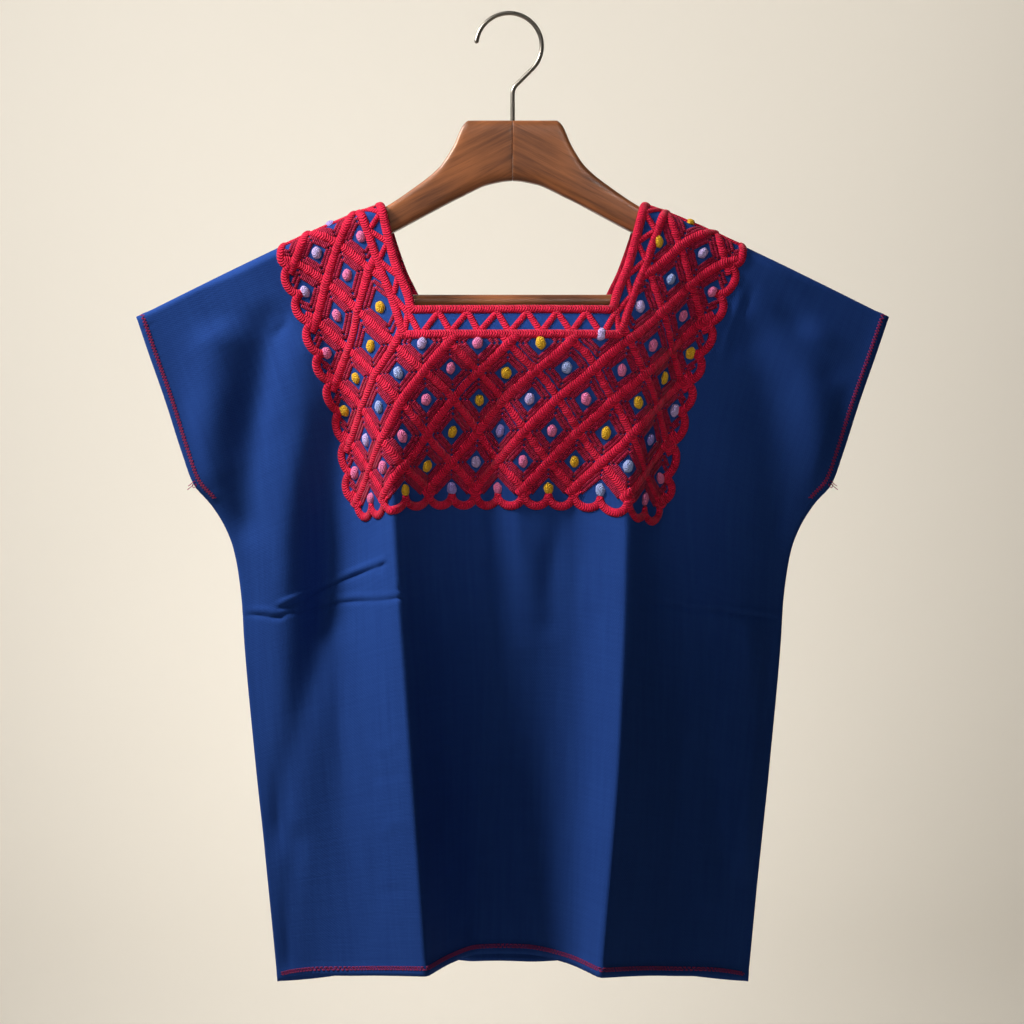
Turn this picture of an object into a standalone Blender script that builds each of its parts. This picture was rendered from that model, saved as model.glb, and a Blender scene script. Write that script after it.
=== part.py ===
"""A short-sleeved blouse with embroidered yokes, hung on a wooden hanger.

Metres, +Z up. The origin is the inner top of the hook, where the hanger is held. The front looks
along -Y. Cloth is worked out in two steps. The flat cut gives each point two measures: p, across
from the middle, and q, down from the shoulder edge. The drape tables then say where a point of
the cut hangs: how far across, how far down and how far ahead of the plane of the hanger.
"""

import math

import bmesh
import bpy
import numpy as np
from mathutils import Matrix, Vector

MM = 0.001

# The flat cut
NECK_HALF_WIDTH = 76.0
NECK_DEPTH = 78.4
BODY_LENGTH = 618.0
CLOTH_THICKNESS = 1.3
SEAM_GAP = 0.3
LEFT_CREASE = -104.4
RIGHT_CREASE = 116.0

# The lattice of the embroidery
CELL_WIDTH = 46.4
CELL_HEIGHT = 51.2
LATTICE_TOP = 1.6
YOKE_HALF_WIDTH = 162.4
YOKE_LIFT = 0.97
YOKE_THICKNESS = 1.0
ROPE_HEIGHT = 1.5
ROPE_HALF_WIDTH = 6.5
SCALLOP_DEPTH = 7.0
EDGING_WIDTH = 16.8
EDGING_BOTTOM = 97.6
EDGING_LIFT = 0.8
EDGING_THICKNESS = 1.2
EDGING_HEIGHT = 1.2
EDGING_SHARES = (0.0, 0.2, 0.5, 0.8, 0.965)
EDGING_ROPE_SHARE = 0.3

# The fold over the hanger arm
ARM_FOLD_RADIUS = 8.6
TIP_FOLD_RADIUS = 3.0
ARM_FOLD_END = 210.0
TIP_FOLD_START = 240.0

# The back hangs a little flatter and lower than the front
BACK_DEPTH_SHARE = 0.8
BACK_DROP = 9.0
BACK_NECK_INSET = 5.5
BACK_NECK_REACH = 70.0
BACK_EASE_START = 30.0
BACK_EASE_LENGTH = 60.0

# The outline as it hangs, a row for each level down the cut, in millimetres
# Columns: down, flat half, hung half, height
OUTLINE = np.array((
    (0.0, 292.0, 300.4, -242.8),
    (32.0, 292.0, 290.1, -272.4),
    (71.0, 292.0, 277.3, -307.6),
    (120.0, 292.0, 262.5, -352.4),
    (145.0, 292.0, 254.0, -374.8),
    (167.0, 281.0, 241.7, -389.2),
    (193.0, 272.0, 229.9, -408.4),
    (215.0, 267.0, 222.9, -426.0),
    (238.0, 264.0, 218.9, -445.2),
    (269.0, 261.5, 215.7, -472.4),
    (301.0, 260.0, 214.1, -499.6),
    (412.0, 260.0, 205.3, -595.6),
    (511.0, 260.0, 196.5, -680.4),
    (618.0, 260.0, 187.7, -772.4),
))

# The middle line, and how each level bows down towards the sides
# Columns: down, height of the middle line, half width that stays level, power of the bow
LEVELS = np.array((
    (0.0, -152.4, 76.0, 1.12),
    (26.0, -177.0, 76.0, 1.45),
    (52.8, -204.5, 76.0, 1.65),
    (78.4, -235.4, 76.0, 2.2),
    (104.0, -265.8, 76.0, 2.6),
    (155.0, -308.8, 76.0, 2.0),
    (207.0, -357.7, 76.0, 1.65),
    (245.0, -389.5, 72.0, 1.6),
    (400.0, -538.5, 40.0, 1.5),
    (618.0, -748.4, 0.0, 1.5),
))

# Fold lines run down the cut. Outer ones lie at a share of the way from the yoke to the edge.
# Columns: down, then left edge, swell, hollow, yoke, crease, wall and middle, then right middle,
# wall, crease, yoke, hollow, swell and edge
OUTER_SHARES = (0.6, 0.22)
INNER_FOLDS = (-162.4, LEFT_CREASE, -62.0, -20.0, 20.0, 66.0, RIGHT_CREASE, 162.4)

# Across: share of the outline for the outer folds, millimetres for the inner ones
ACROSS = np.array((
    (0.0, 1, 0.841, 0.692, -182.2, -129.6, -91.1, -53.0, 53.0, 94.7, 140.1, 182.2, 0.692, 0.841, 1),
    (52.8, 1, 0.833, 0.674, -165.0, -115.5, -75.0, -24.0, 24.0, 78.6, 124.3, 159.0, 0.665, 0.833, 1),
    (78.4, 1, 0.827, 0.662, -156.0, -106.5, -62.5, -20.5, 20.5, 66.4, 116.6, 151.0, 0.652, 0.827, 1),
    (104.0, 1, 0.821, 0.652, -148.0, -101.5, -63.5, -24.0, 18.5, 65.0, 109.7, 141.5, 0.64, 0.821, 1),
    (155.0, 1, 0.815, 0.639, -133.5, -96.5, -61.0, -23.5, 10.5, 54.0, 98.2, 128.5, 0.63, 0.815, 1),
    (207.0, 1, 0.823, 0.655, -125.5, -94.0, -62.0, -26.5, 5.5, 45.5, 90.2, 118.0, 0.64, 0.823, 1),
    (245.0, 1, 0.833, 0.668, -124.0, -93.0, -61.0, -27.0, 6.0, 45.0, 90.0, 118.0, 0.65, 0.833, 1),
    (412.0, 1, 0.836, 0.68, -121.0, -81.5, -51.0, -21.5, 12.0, 47.0, 84.0, 119.0, 0.67, 0.836, 1),
    (618.0, 1, 0.868, 0.655, -107.0, -66.6, -49.0, -28.0, 9.0, 43.0, 68.0, 106.0, 0.65, 0.86, 1),
))

# Ahead: millimetres in front of the plane of the hanger
AHEAD = np.array((
    (0.0, 3.4, 4.6, 8.6, 8.6, 8.6, 8.6, 8.6, 8.6, 8.6, 8.6, 8.6, 8.6, 4.6, 3.4),
    (52.8, 4.4, 6.8, 10.5, 10.5, 20.0, 27.0, 30.0, 30.0, 27.0, 19.0, 10.5, 9.5, 6.8, 4.4),
    (78.4, 5.0, 7.0, 13.5, 12.5, 30.0, 41.0, 43.0, 43.0, 41.0, 28.0, 12.0, 10.5, 7.5, 5.0),
    (104.0, 5.0, 8.5, 15.5, 13.0, 38.0, 53.0, 55.0, 56.0, 53.0, 36.0, 11.5, 12.0, 8.0, 5.0),
    (155.0, 3.5, 13.0, 12.5, 14.0, 46.0, 46.0, 34.0, 46.0, 50.0, 44.0, 13.0, 9.0, 9.5, 3.5),
    (207.0, 0.8, 16.5, 8.0, 14.0, 50.0, 31.0, 18.0, 38.0, 37.0, 49.0, 14.5, 7.0, 10.5, 0.8),
    (245.0, 0.15, 17.0, 7.0, 14.0, 53.0, 26.0, 14.0, 34.0, 32.0, 52.0, 15.0, 6.5, 11.0, 0.15),
    (412.0, 0.15, 16.0, 17.0, 27.0, 65.0, 29.0, 15.0, 17.0, 30.0, 66.0, 31.0, 17.0, 11.0, 0.15),
    (618.0, 0.15, 6.0, 32.0, 46.0, 84.0, 40.0, 11.0, 9.0, 38.0, 84.0, 46.0, 32.0, 9.0, 0.15),
))
CREASE_COLUMNS = (4, 9)
CREASES_START = 190.0
CREASES_FULL = 262.0

# Rows and columns of the cloth walls, along the same lines as the lattice
FOLD_ROWS = (0.0, 4.8, 9.6, 14.4)
YOKE_ROWS = (27.2, 40.0, 52.8, 65.6, 78.4, 97.6, 116.8, 142.4, 168.0, 193.6, 219.2, 244.8)
BODY_ROWS = (269.0, 301.0, 338.0, 375.0, 412.0, 461.0, 511.0, 565.0, 618.0)
COLUMN_STEP = CELL_WIDTH / 4
OUTER_COLUMN_SHARES = (0.16, 0.33, 0.5, 0.66, 0.83, 1.0)
RELIEF_ROW_STEP = CELL_HEIGHT / 4

# The hanger, with a boss under each arm's end where the bar is let in
ARM_THICKNESS = 14.0
ARM_RING_POINTS = 16
ARM_SQUARENESS = 0.45
MITRE_GAP = 0.3
# Columns: across, top, underside
ARM_SECTIONS = (
    (0.0, -84.4, -132.4),
    (19.0, -84.4, -135.4),
    (35.0, -84.4, -142.2),
    (39.5, -88.0, -144.6),
    (47.0, -104.2, -148.2),
    (58.5, -121.6, -154.2),
    (80.5, -139.4, -166.0),
    (103.8, -154.6, -178.4),
    (140.0, -171.4, -197.6),
    (175.0, -187.6, -216.2),
    (187.0, -193.2, -222.8),
    (194.0, -196.6, -237.6),
    (207.0, -203.0, -239.4),
    (216.0, -209.0, -237.0),
    (221.0, -216.0, -231.0),
    (222.4, -221.0, -226.0),
)
BAR_HEIGHT = -229.0
BAR_RADIUS = 5.6
BAR_HALF_LENGTH = 205.0
SOCKET_CLEARANCE = 0.3
ROD_SIDES = 16
HOOK_WIRE_RADIUS = 1.8
HOOK_RADIUS = 26.2
HOOK_CENTRE = (-2.9, -24.4)
HOOK_TIP_ANGLE = 176.0
HOOK_THROAT_ANGLE = -45.0
HOOK_BEND_RADIUS = 10.0
HOOK_LOOP_POINTS = 25
HOOK_BEND_POINTS = 5
STEM_ACROSS = 0.0
STEM_FOOT = -112.0
STEM_HOLE_TOP = -80.0


def clear_scene():
    for obj in list(bpy.data.objects):
        bpy.data.objects.remove(obj, do_unlink=True)


def material(name, colour, roughness, metallic=0.0):
    made = bpy.data.materials.new(name)
    made.use_nodes = True
    shader = made.node_tree.nodes["Principled BSDF"]
    shader.inputs["Base Color"].default_value = (*colour, 1.0)
    shader.inputs["Roughness"].default_value = roughness
    shader.inputs["Metallic"].default_value = metallic
    return made


def add_object(name, mesh, finish):
    mesh.materials.append(finish)
    obj = bpy.data.objects.new(name, mesh)
    bpy.context.scene.collection.objects.link(obj)
    return obj


def smooth_through(at, known_at, known):
    """Values at the places asked for, on a cubic through the known ones that never overshoots them."""
    step = np.diff(known_at)
    slope = np.diff(known) / step
    tangent = np.empty(len(known))
    tangent[0] = slope[0]
    tangent[-1] = slope[-1]
    before, after = slope[:-1], slope[1:]
    same_way = before * after > 0
    spread = np.where(same_way, before + after, 1.0)
    tangent[1:-1] = np.where(same_way, 2.0 * before * after / spread, 0.0)
    cell = np.clip(np.searchsorted(known_at, at) - 1, 0, len(step) - 1)
    width = step[cell]
    t = (at - known_at[cell]) / width
    rise = known[cell + 1] - known[cell]
    start = tangent[cell] * width
    end = tangent[cell + 1] * width
    square = t**2 * (3 * rise - 2 * start - end)
    cube = t**3 * (start + end - 2 * rise)
    return known[cell] + t * start + square + cube


def creased_through(at, known_at, known, sharpness):
    """The same cubic, with a share of it broken at the two pressed creases, so that they stand sharp."""
    soft = smooth_through(at, known_at, known)
    if sharpness == 0.0:
        return soft
    left, right = CREASE_COLUMNS
    parts = (slice(0, left + 1), slice(left, right + 1), slice(right, len(known)))
    outer_left, inner, outer_right = (smooth_through(at, known_at[part], known[part]) for part in parts)
    crisp = np.where(at < known_at[left], outer_left, inner)
    crisp = np.where(at > known_at[right], outer_right, crisp)
    return (1.0 - sharpness) * soft + sharpness * crisp


def row_of(table, down):
    """A table's values at one level down the cut."""
    at = np.array([down])
    return np.array([smooth_through(at, table[:, 0], column)[0] for column in table[:, 1:].T])


def fold_radius(across):
    share = np.clip((np.abs(across) - ARM_FOLD_END) / (TIP_FOLD_START - ARM_FOLD_END), 0.0, 1.0)
    return ARM_FOLD_RADIUS + (TIP_FOLD_RADIUS - ARM_FOLD_RADIUS) * share


def hung_down(down, radius):
    """How far down the fold over the arm leaves a point of the cut, before the cloth hangs free."""
    quarter = radius * math.pi / 2
    round_fold = radius * (1 - np.cos(np.minimum(down / radius, math.pi / 2)))
    free = radius + (down - quarter) * (NECK_DEPTH - radius) / (NECK_DEPTH - quarter)
    return np.where(down < quarter, round_fold, np.where(down < NECK_DEPTH, free, down))


def drape_row(across, down, back=False):
    """The inner points of one row of the cut as it hangs, in millimetres."""
    flat_half, hung_half, _ = row_of(OUTLINE, down)
    beyond_yoke = flat_half - YOKE_HALF_WIDTH
    outer = [-flat_half] + [-YOKE_HALF_WIDTH - beyond_yoke * share for share in OUTER_SHARES]
    lines = np.array(outer + list(INNER_FOLDS) + [-value for value in reversed(outer)])
    places = row_of(ACROSS, down)
    places[:3] *= -hung_half
    places[-3:] *= hung_half
    share = np.clip((down - CREASES_START) / (CREASES_FULL - CREASES_START), 0.0, 1.0)
    sharpness = share * share * (3 - 2 * share)
    x = creased_through(across, lines, places, sharpness)
    ahead = creased_through(across, lines, row_of(AHEAD, down), sharpness)
    radius = fold_radius(across)
    lower = hung_down(down, radius)
    height = np.empty(len(across))
    for i, level in enumerate(lower):
        middle, flat_middle, bow = row_of(LEVELS, level)
        edge_flat, _, edge_height = row_of(OUTLINE, level)
        out = max(abs(across[i]) - flat_middle, 0.0) / (edge_flat - flat_middle)
        height[i] = middle + (edge_height - middle) * min(out, 1.0) ** bow
    ahead = ahead * np.sin(np.minimum(down / radius, math.pi / 2))
    ahead = np.maximum(ahead, SEAM_GAP / 2)
    if not back:
        return np.stack([x, -ahead, height], axis=1)
    near_neck = min(down / NECK_DEPTH, 1.0) * math.exp(-((down - NECK_DEPTH) / BACK_NECK_REACH) ** 2)
    from_neck = np.clip(1 - (np.abs(across) - NECK_HALF_WIDTH) / BACK_NECK_REACH, 0, 1)
    x = x - np.sign(across) * BACK_NECK_INSET * near_neck * from_neck
    from_seam = np.clip(1 - (np.abs(across) / flat_half) ** 4, 0.0, 1.0)
    height = height - BACK_DROP * from_seam * down / BODY_LENGTH
    below_arm = min(max((down - BACK_EASE_START) / BACK_EASE_LENGTH, 0.0), 1.0)
    ahead = np.maximum(ahead * (1 - below_arm * (1 - BACK_DEPTH_SHARE)), SEAM_GAP / 2)
    return np.stack([x, ahead, height], axis=1)


def column_measures(down):
    """The measures across of one row: the lattice's quarter steps, the neck's edge and the sleeves."""
    steps = int(round(YOKE_HALF_WIDTH / COLUMN_STEP))
    inner = sorted({round(i * COLUMN_STEP, 4) for i in range(steps + 1)} | {NECK_HALF_WIDTH})
    flat_half = row_of(OUTLINE, down)[0]
    outer = [YOKE_HALF_WIDTH + (flat_half - YOKE_HALF_WIDTH) * share for share in OUTER_COLUMN_SHARES]
    half = inner + outer
    return np.array([-value for value in reversed(half[1:])] + half)


def outward(points, back):
    """Unit normals of a grid of points, away from the wearer, upright along the shoulder's fold."""
    along_rows = np.gradient(points, axis=0)
    along_columns = np.gradient(points, axis=1)
    normal = np.cross(along_rows, along_columns)
    normal[0, :, 1] = 0.0
    normal /= np.linalg.norm(normal, axis=2, keepdims=True)
    normal[0] *= np.sign(normal[0, :, 2:])
    away = 1.0 if back else -1.0
    normal[1:] *= np.where(normal[1:, :, 1:2] * away < 0, -1.0, 1.0)
    return normal


def drape_panel(back):
    rows = FOLD_ROWS + YOKE_ROWS + BODY_ROWS
    inner = np.array([drape_row(column_measures(down), down, back) for down in rows])
    across = np.array([column_measures(down) for down in rows])
    return np.array(rows), across, inner, outward(inner, back)


def build_wall(name, outer, inner, kept, finish, back, rising=None):
    """A closed wall between two like grids, with a rim round every edge of the kept cells.

    Where rising is given, each kept cell is two triangles, and it says which way their diagonal runs.
    """
    grid = bmesh.new()
    layers = []
    used = np.zeros(outer.shape[:2], bool)
    for row, column in ((0, 0), (0, 1), (1, 0), (1, 1)):
        used[row:row + kept.shape[0], column:column + kept.shape[1]] |= kept
    for points in (outer, inner):
        layers.append({tuple(spot): grid.verts.new(points[tuple(spot)] * MM) for spot in np.argwhere(used)})
    sides = {}
    for row, column in np.argwhere(kept):
        corners = [(row, column), (row + 1, column), (row + 1, column + 1), (row, column + 1)]
        if back:
            corners.reverse()
        if rising is None:
            loops = [corners]
        else:
            turn = 1 if rising[row, column] != back else 0
            turned = corners[turn:] + corners[:turn]
            loops = [turned[:3], [turned[0], turned[2], turned[3]]]
        for loop in loops:
            grid.faces.new([layers[0][spot] for spot in loop])
            grid.faces.new([layers[1][spot] for spot in reversed(loop)])
        for start, end in zip(corners, corners[1:] + corners[:1]):
            sides[(start, end)] = True
    for start, end in sides:
        if (end, start) not in sides:
            grid.faces.new([layers[0][end], layers[0][start], layers[1][start], layers[1][end]])
    mesh = bpy.data.meshes.new(name)
    grid.to_mesh(mesh)
    grid.free()
    mesh.shade_smooth()
    return add_object(name, mesh, finish)


def outside_notch(downs, measures, depth, half_width):
    """Which cells of a grid lie outside a square notch round the neck."""
    centre = (downs[:-1] + downs[1:]) / 2
    middle = (measures[:-1] + measures[1:]) / 2
    return (centre[:, None] > depth) | (np.abs(middle)[None, :] > half_width)


def build_panel(name, drape, finish, back):
    rows, across, inner, normal = drape
    kept = outside_notch(rows, across[0], NECK_DEPTH, NECK_HALF_WIDTH)
    return build_wall(name, inner + normal * CLOTH_THICKNESS, inner, kept, finish, back)


def on_panel(drape, downs, measures, lift):
    """Points and normals over a panel's own facets, moved out, for grids of measures of the cut."""
    rows, across, inner, normal = drape
    row = np.clip(np.searchsorted(rows, downs, side="right") - 1, 0, len(rows) - 2)
    column = np.clip(np.searchsorted(across[0], measures, side="right") - 1, 0, across.shape[1] - 2)
    side = across[row, column]
    r = ((downs - rows[row]) / (rows[row + 1] - rows[row]))[..., None]
    c = ((measures - side) / (across[row, column + 1] - side))[..., None]
    blended = []
    for grid in (inner + normal * (CLOTH_THICKNESS + lift), normal):
        near = grid[row, column] * (1 - c) + grid[row, column + 1] * c
        far = grid[row + 1, column] * (1 - c) + grid[row + 1, column + 1] * c
        blended.append(near * (1 - r) + far * r)
    return blended[0], blended[1] / np.linalg.norm(blended[1], axis=-1, keepdims=True)


def rope_relief(across, down):
    """Height of the raised lattice: ridges along the diamonds' sides and a knot in each middle."""
    u = across / (CELL_WIDTH / 2)
    v = (down - LATTICE_TOP) / (CELL_HEIGHT / 2)
    reach = 1.0 / math.hypot(2 / CELL_WIDTH, 2 / CELL_HEIGHT)
    rising = np.abs((u + v + 1) % 2 - 1)
    falling = np.abs((u - v + 1) % 2 - 1)
    from_rope = np.minimum(rising, falling) * reach
    from_knot = np.maximum(1 - rising, 1 - falling) * reach
    rope = np.clip(1 - from_rope / ROPE_HALF_WIDTH, 0, 1)
    knot = 0.8 * np.clip(1 - from_knot / ROPE_HALF_WIDTH, 0, 1)
    return ROPE_HEIGHT * np.maximum(rope, knot)


def build_yoke(name, drape, finish, back):
    steps = int(round(YOKE_HALF_WIDTH / COLUMN_STEP))
    lattice_rows = [round(LATTICE_TOP + RELIEF_ROW_STEP * i, 4) for i in range(1, 20)]
    downs = np.array(sorted(set(FOLD_ROWS[:3]) | set(lattice_rows) | {EDGING_BOTTOM}))
    measures = np.arange(-steps, steps + 1) * COLUMN_STEP
    down, across = np.meshgrid(downs, measures, indexing="ij")
    relief = YOKE_THICKNESS + rope_relief(across, down)
    lobe_side = SCALLOP_DEPTH * (1 - np.cos(4 * math.pi * (downs - LATTICE_TOP) / CELL_HEIGHT)) / 2
    lobe_side *= np.clip(downs / FOLD_ROWS[-1], 0, 1) * (downs < downs[-1])
    lobe_foot = SCALLOP_DEPTH * (1 - np.cos(4 * math.pi * measures / CELL_WIDTH)) / 2
    across[:, 0] -= lobe_side
    across[:, -1] += lobe_side
    down[-1, 1:-1] += lobe_foot[1:-1]
    base, normal = on_panel(drape, down, across, YOKE_LIFT)
    outer = base + normal * relief[..., None]
    kept = outside_notch(downs, measures, EDGING_BOTTOM, NECK_HALF_WIDTH + EDGING_WIDTH)
    steps_across = np.round(measures / COLUMN_STEP).astype(int)[:-1]
    steps_down = np.floor((downs[:-1] - LATTICE_TOP) / RELIEF_ROW_STEP + 0.01).astype(int)
    rising = (steps_down[:, None] + steps_across[None, :]) % 4 == 3
    return build_wall(name, outer, base, kept, finish, back, rising)


def build_edging(name, drape, finish, back):
    """The band round the neck: two raised ropes with a channel between, mitred at the corners."""
    steps = int(NECK_HALF_WIDTH // COLUMN_STEP)
    ropes = [EDGING_WIDTH * share for share in EDGING_SHARES]
    half = [i * COLUMN_STEP for i in range(steps + 1)] + [NECK_HALF_WIDTH + reach for reach in ropes]
    measures = np.array([-value for value in reversed(half[1:])] + half)
    rows_beside = [row for row in FOLD_ROWS + YOKE_ROWS if row < NECK_DEPTH]
    downs = np.array(rows_beside + [NECK_DEPTH + reach for reach in ropes])
    down, across = np.meshgrid(downs, measures, indexing="ij")
    reach = np.maximum(np.abs(across) - NECK_HALF_WIDTH, down - NECK_DEPTH) / EDGING_WIDTH
    from_rope = np.minimum(np.abs(reach - EDGING_SHARES[1]), np.abs(reach - EDGING_SHARES[3]))
    relief = EDGING_THICKNESS + EDGING_HEIGHT * np.clip(1 - from_rope / EDGING_ROPE_SHARE, 0, 1)
    base, normal = on_panel(drape, down, across, EDGING_LIFT)
    outer = base + normal * relief[..., None]
    kept = outside_notch(downs, measures, NECK_DEPTH, NECK_HALF_WIDTH)
    return build_wall(name, outer, base, kept, finish, back)


def build_arm(name, side, finish):
    """Half of the hanger: rounded rectangular rings along the arm, closed at both ends."""
    body = bmesh.new()
    rings = []
    turns = np.arange(ARM_RING_POINTS) * 2 * math.pi / ARM_RING_POINTS
    for across, top, underside in ARM_SECTIONS:
        x = side * max(across, MITRE_GAP / 2)
        ahead = np.sign(np.cos(turns)) * np.abs(np.cos(turns)) ** ARM_SQUARENESS * ARM_THICKNESS / 2
        share = np.sign(np.sin(turns)) * np.abs(np.sin(turns)) ** ARM_SQUARENESS
        height = (top + underside) / 2 + share * (top - underside) / 2
        rings.append([body.verts.new((x * MM, y * MM, z * MM)) for y, z in zip(ahead, height)])
    for near, far in zip(rings, rings[1:]):
        for i in range(ARM_RING_POINTS):
            after = (i + 1) % ARM_RING_POINTS
            body.faces.new((near[i], near[after], far[after], far[i]))
    body.faces.new(rings[0])
    body.faces.new(rings[-1])
    bmesh.ops.recalc_face_normals(body, faces=body.faces)
    mesh = bpy.data.meshes.new(name)
    body.to_mesh(mesh)
    body.free()
    mesh.shade_smooth()
    mesh.set_sharp_from_angle(angle=math.radians(40))
    return add_object(name, mesh, finish)


def build_rod(name, radius, start, end, finish):
    """A round rod between two points."""
    rod = bmesh.new()
    line = Vector(end) - Vector(start)
    turn = line.to_track_quat("Z", "Y").to_matrix().to_4x4()
    place = Matrix.Translation((Vector(start) + Vector(end)) / 2 * MM) @ turn
    bmesh.ops.create_cone(rod, cap_ends=True, segments=ROD_SIDES, radius1=radius * MM,
                          radius2=radius * MM, depth=line.length * MM, matrix=place)
    mesh = bpy.data.meshes.new(name)
    rod.to_mesh(mesh)
    rod.free()
    mesh.shade_smooth()
    mesh.set_sharp_from_angle(angle=math.radians(40))
    return add_object(name, mesh, finish)


def cut_hole(obj, cutter):
    cutter.hide_render = True
    cutter.display_type = "WIRE"
    hole = obj.modifiers.new(cutter.name, "BOOLEAN")
    hole.operation = "DIFFERENCE"
    hole.solver = "EXACT"
    hole.object = cutter


def build_hanger(wood, metal):
    arms = [build_arm("hanger_arm_left", -1, wood), build_arm("hanger_arm_right", 1, wood)]
    bar_end = (BAR_HALF_LENGTH, 0, BAR_HEIGHT)
    build_rod("hanger_bar", BAR_RADIUS, (-BAR_HALF_LENGTH, 0, BAR_HEIGHT), bar_end, wood)
    reach = BAR_HALF_LENGTH + SOCKET_CLEARANCE
    socket_radius = BAR_RADIUS + SOCKET_CLEARANCE
    socket = build_rod("bar_socket", socket_radius, (-reach, 0, BAR_HEIGHT), (reach, 0, BAR_HEIGHT), wood)
    stem_radius = HOOK_WIRE_RADIUS + SOCKET_CLEARANCE
    stem_bottom = (STEM_ACROSS, 0, STEM_FOOT - SOCKET_CLEARANCE)
    stem_hole = build_rod("stem_hole", stem_radius, stem_bottom, (STEM_ACROSS, 0, STEM_HOLE_TOP), wood)
    for arm in arms:
        cut_hole(arm, socket)
        cut_hole(arm, stem_hole)
    build_hook(metal)


def arc(centre, radius, first, last, count):
    turns = np.radians(np.linspace(first, last, count))
    return [(centre[0] + radius * math.cos(turn), centre[1] + radius * math.sin(turn)) for turn in turns]


def build_hook(finish):
    """The hook's wire: the round loop, the slanting throat, a bend and the stem down into the wood."""
    loop = arc(HOOK_CENTRE, HOOK_RADIUS, HOOK_TIP_ANGLE, HOOK_THROAT_ANGLE, HOOK_LOOP_POINTS)
    bend_across = STEM_ACROSS + HOOK_BEND_RADIUS
    slant = math.radians(90 + HOOK_THROAT_ANGLE)
    bend_start = bend_across - HOOK_BEND_RADIUS * math.sin(slant)
    throat = loop[-1]
    bend_top = throat[1] - (throat[0] - bend_start) * math.tan(slant)
    bend_centre = (bend_across, bend_top - HOOK_BEND_RADIUS * math.cos(slant))
    bend = arc(bend_centre, HOOK_BEND_RADIUS, 180 + HOOK_THROAT_ANGLE, 180, HOOK_BEND_POINTS)
    route = loop + bend + [(STEM_ACROSS, STEM_FOOT)]
    curve = bpy.data.curves.new("hanger_hook", "CURVE")
    curve.dimensions = "3D"
    curve.bevel_depth = HOOK_WIRE_RADIUS * MM
    curve.bevel_resolution = 3
    curve.use_fill_caps = True
    spline = curve.splines.new("POLY")
    spline.points.add(len(route) - 1)
    for point, (across, height) in zip(spline.points, route):
        point.co = (across * MM, 0.0, height * MM, 1.0)
    return add_object("hanger_hook", curve, finish)


def main():
    clear_scene()
    cotton = material("blue_cotton", (0.016, 0.030, 0.155), 0.85)
    embroidery = material("red_embroidery", (0.55, 0.012, 0.035), 0.75)
    front = drape_panel(back=False)
    behind = drape_panel(back=True)
    build_panel("front_panel", front, cotton, back=False)
    build_panel("back_panel", behind, cotton, back=True)
    build_yoke("front_yoke", front, embroidery, back=False)
    build_yoke("back_yoke", behind, embroidery, back=True)
    build_edging("front_neck_edging", front, embroidery, back=False)
    build_edging("back_neck_edging", behind, embroidery, back=True)
    walnut = material("walnut", (0.17, 0.07, 0.035), 0.45)
    nickel = material("nickel", (0.45, 0.42, 0.38), 0.3, 1.0)
    build_hanger(walnut, nickel)


main()
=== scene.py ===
"""The looks of a short-sleeved embroidered blouse hung on a wooden hanger.

The flat cut gives each point of the cloth two measures in millimetres: across from the middle and
down from the shoulder. The drape tables say where that point hangs. All that is sewn on the cloth is
laid out on the cut and carried by the same drape.
"""

import math
from functools import cache, reduce

import bpy
import numpy as np
from bpy.props import FloatProperty, FloatVectorProperty, PointerProperty
from bpy.types import Operator, Panel, PropertyGroup
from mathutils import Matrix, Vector


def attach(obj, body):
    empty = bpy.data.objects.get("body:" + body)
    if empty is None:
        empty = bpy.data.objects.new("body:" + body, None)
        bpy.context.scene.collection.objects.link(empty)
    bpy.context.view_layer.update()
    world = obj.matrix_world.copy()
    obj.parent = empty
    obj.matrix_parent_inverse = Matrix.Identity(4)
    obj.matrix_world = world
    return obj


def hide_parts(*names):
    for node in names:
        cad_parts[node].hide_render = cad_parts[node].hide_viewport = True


bl_info = {
    "name": "Embroidered blouse on a hanger",
    "version": (1, 0, 0),
    "blender": (4, 5, 0),
    "location": "3D View > Sidebar > Blouse",
    "description": "Builds the cloth, the embroidery and the hanger on the fixed frame",
    "category": "Object",
}

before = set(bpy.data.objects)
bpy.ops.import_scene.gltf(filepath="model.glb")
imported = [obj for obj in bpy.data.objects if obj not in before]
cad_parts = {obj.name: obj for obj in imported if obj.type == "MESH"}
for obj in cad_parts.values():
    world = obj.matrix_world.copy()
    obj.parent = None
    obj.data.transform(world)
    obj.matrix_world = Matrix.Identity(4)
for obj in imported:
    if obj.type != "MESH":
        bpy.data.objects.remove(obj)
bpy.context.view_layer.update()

MM = 0.001

# The flat cut
NECK_HALF_WIDTH = 76.0
NECK_DEPTH = 78.4
BODY_LENGTH = 618.0
CUT_HALF_WIDTH = 292.0
LATTICE_TOP = 1.6
YOKE_HALF_WIDTH = 162.4
YOKE_BOTTOM = 239.5
HALF_CELL_WIDTH = 23.2
HALF_CELL_HEIGHT = 25.6

# How far the ropes and bands of the lattice reach, in half cells across and down
LATTICE_SIDE = 7.32
LATTICE_ROWS = (-0.07, 9.25)
ROPE_LENGTH = 34.5

# How the sewn pattern strays from its grid beside the neck. Columns: across, shift across
STRAP_SHIFTS = np.array((
    (-162.4, 0), (-92.8, -9), (-60, 0), (60, 0), (92.8, 5.5), (116, 2.5), (162.4, 0)))
STRAP_SHIFT_END = 104.0
# The yoke's lower corners are drawn up and in. Pairs: across, down
CORNER_START = (104.4, 78.4)
CORNER_SIZE = (58.0, 154.0)
CORNER_LIFT = 8.5
CORNER_PULL = 3.0
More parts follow.
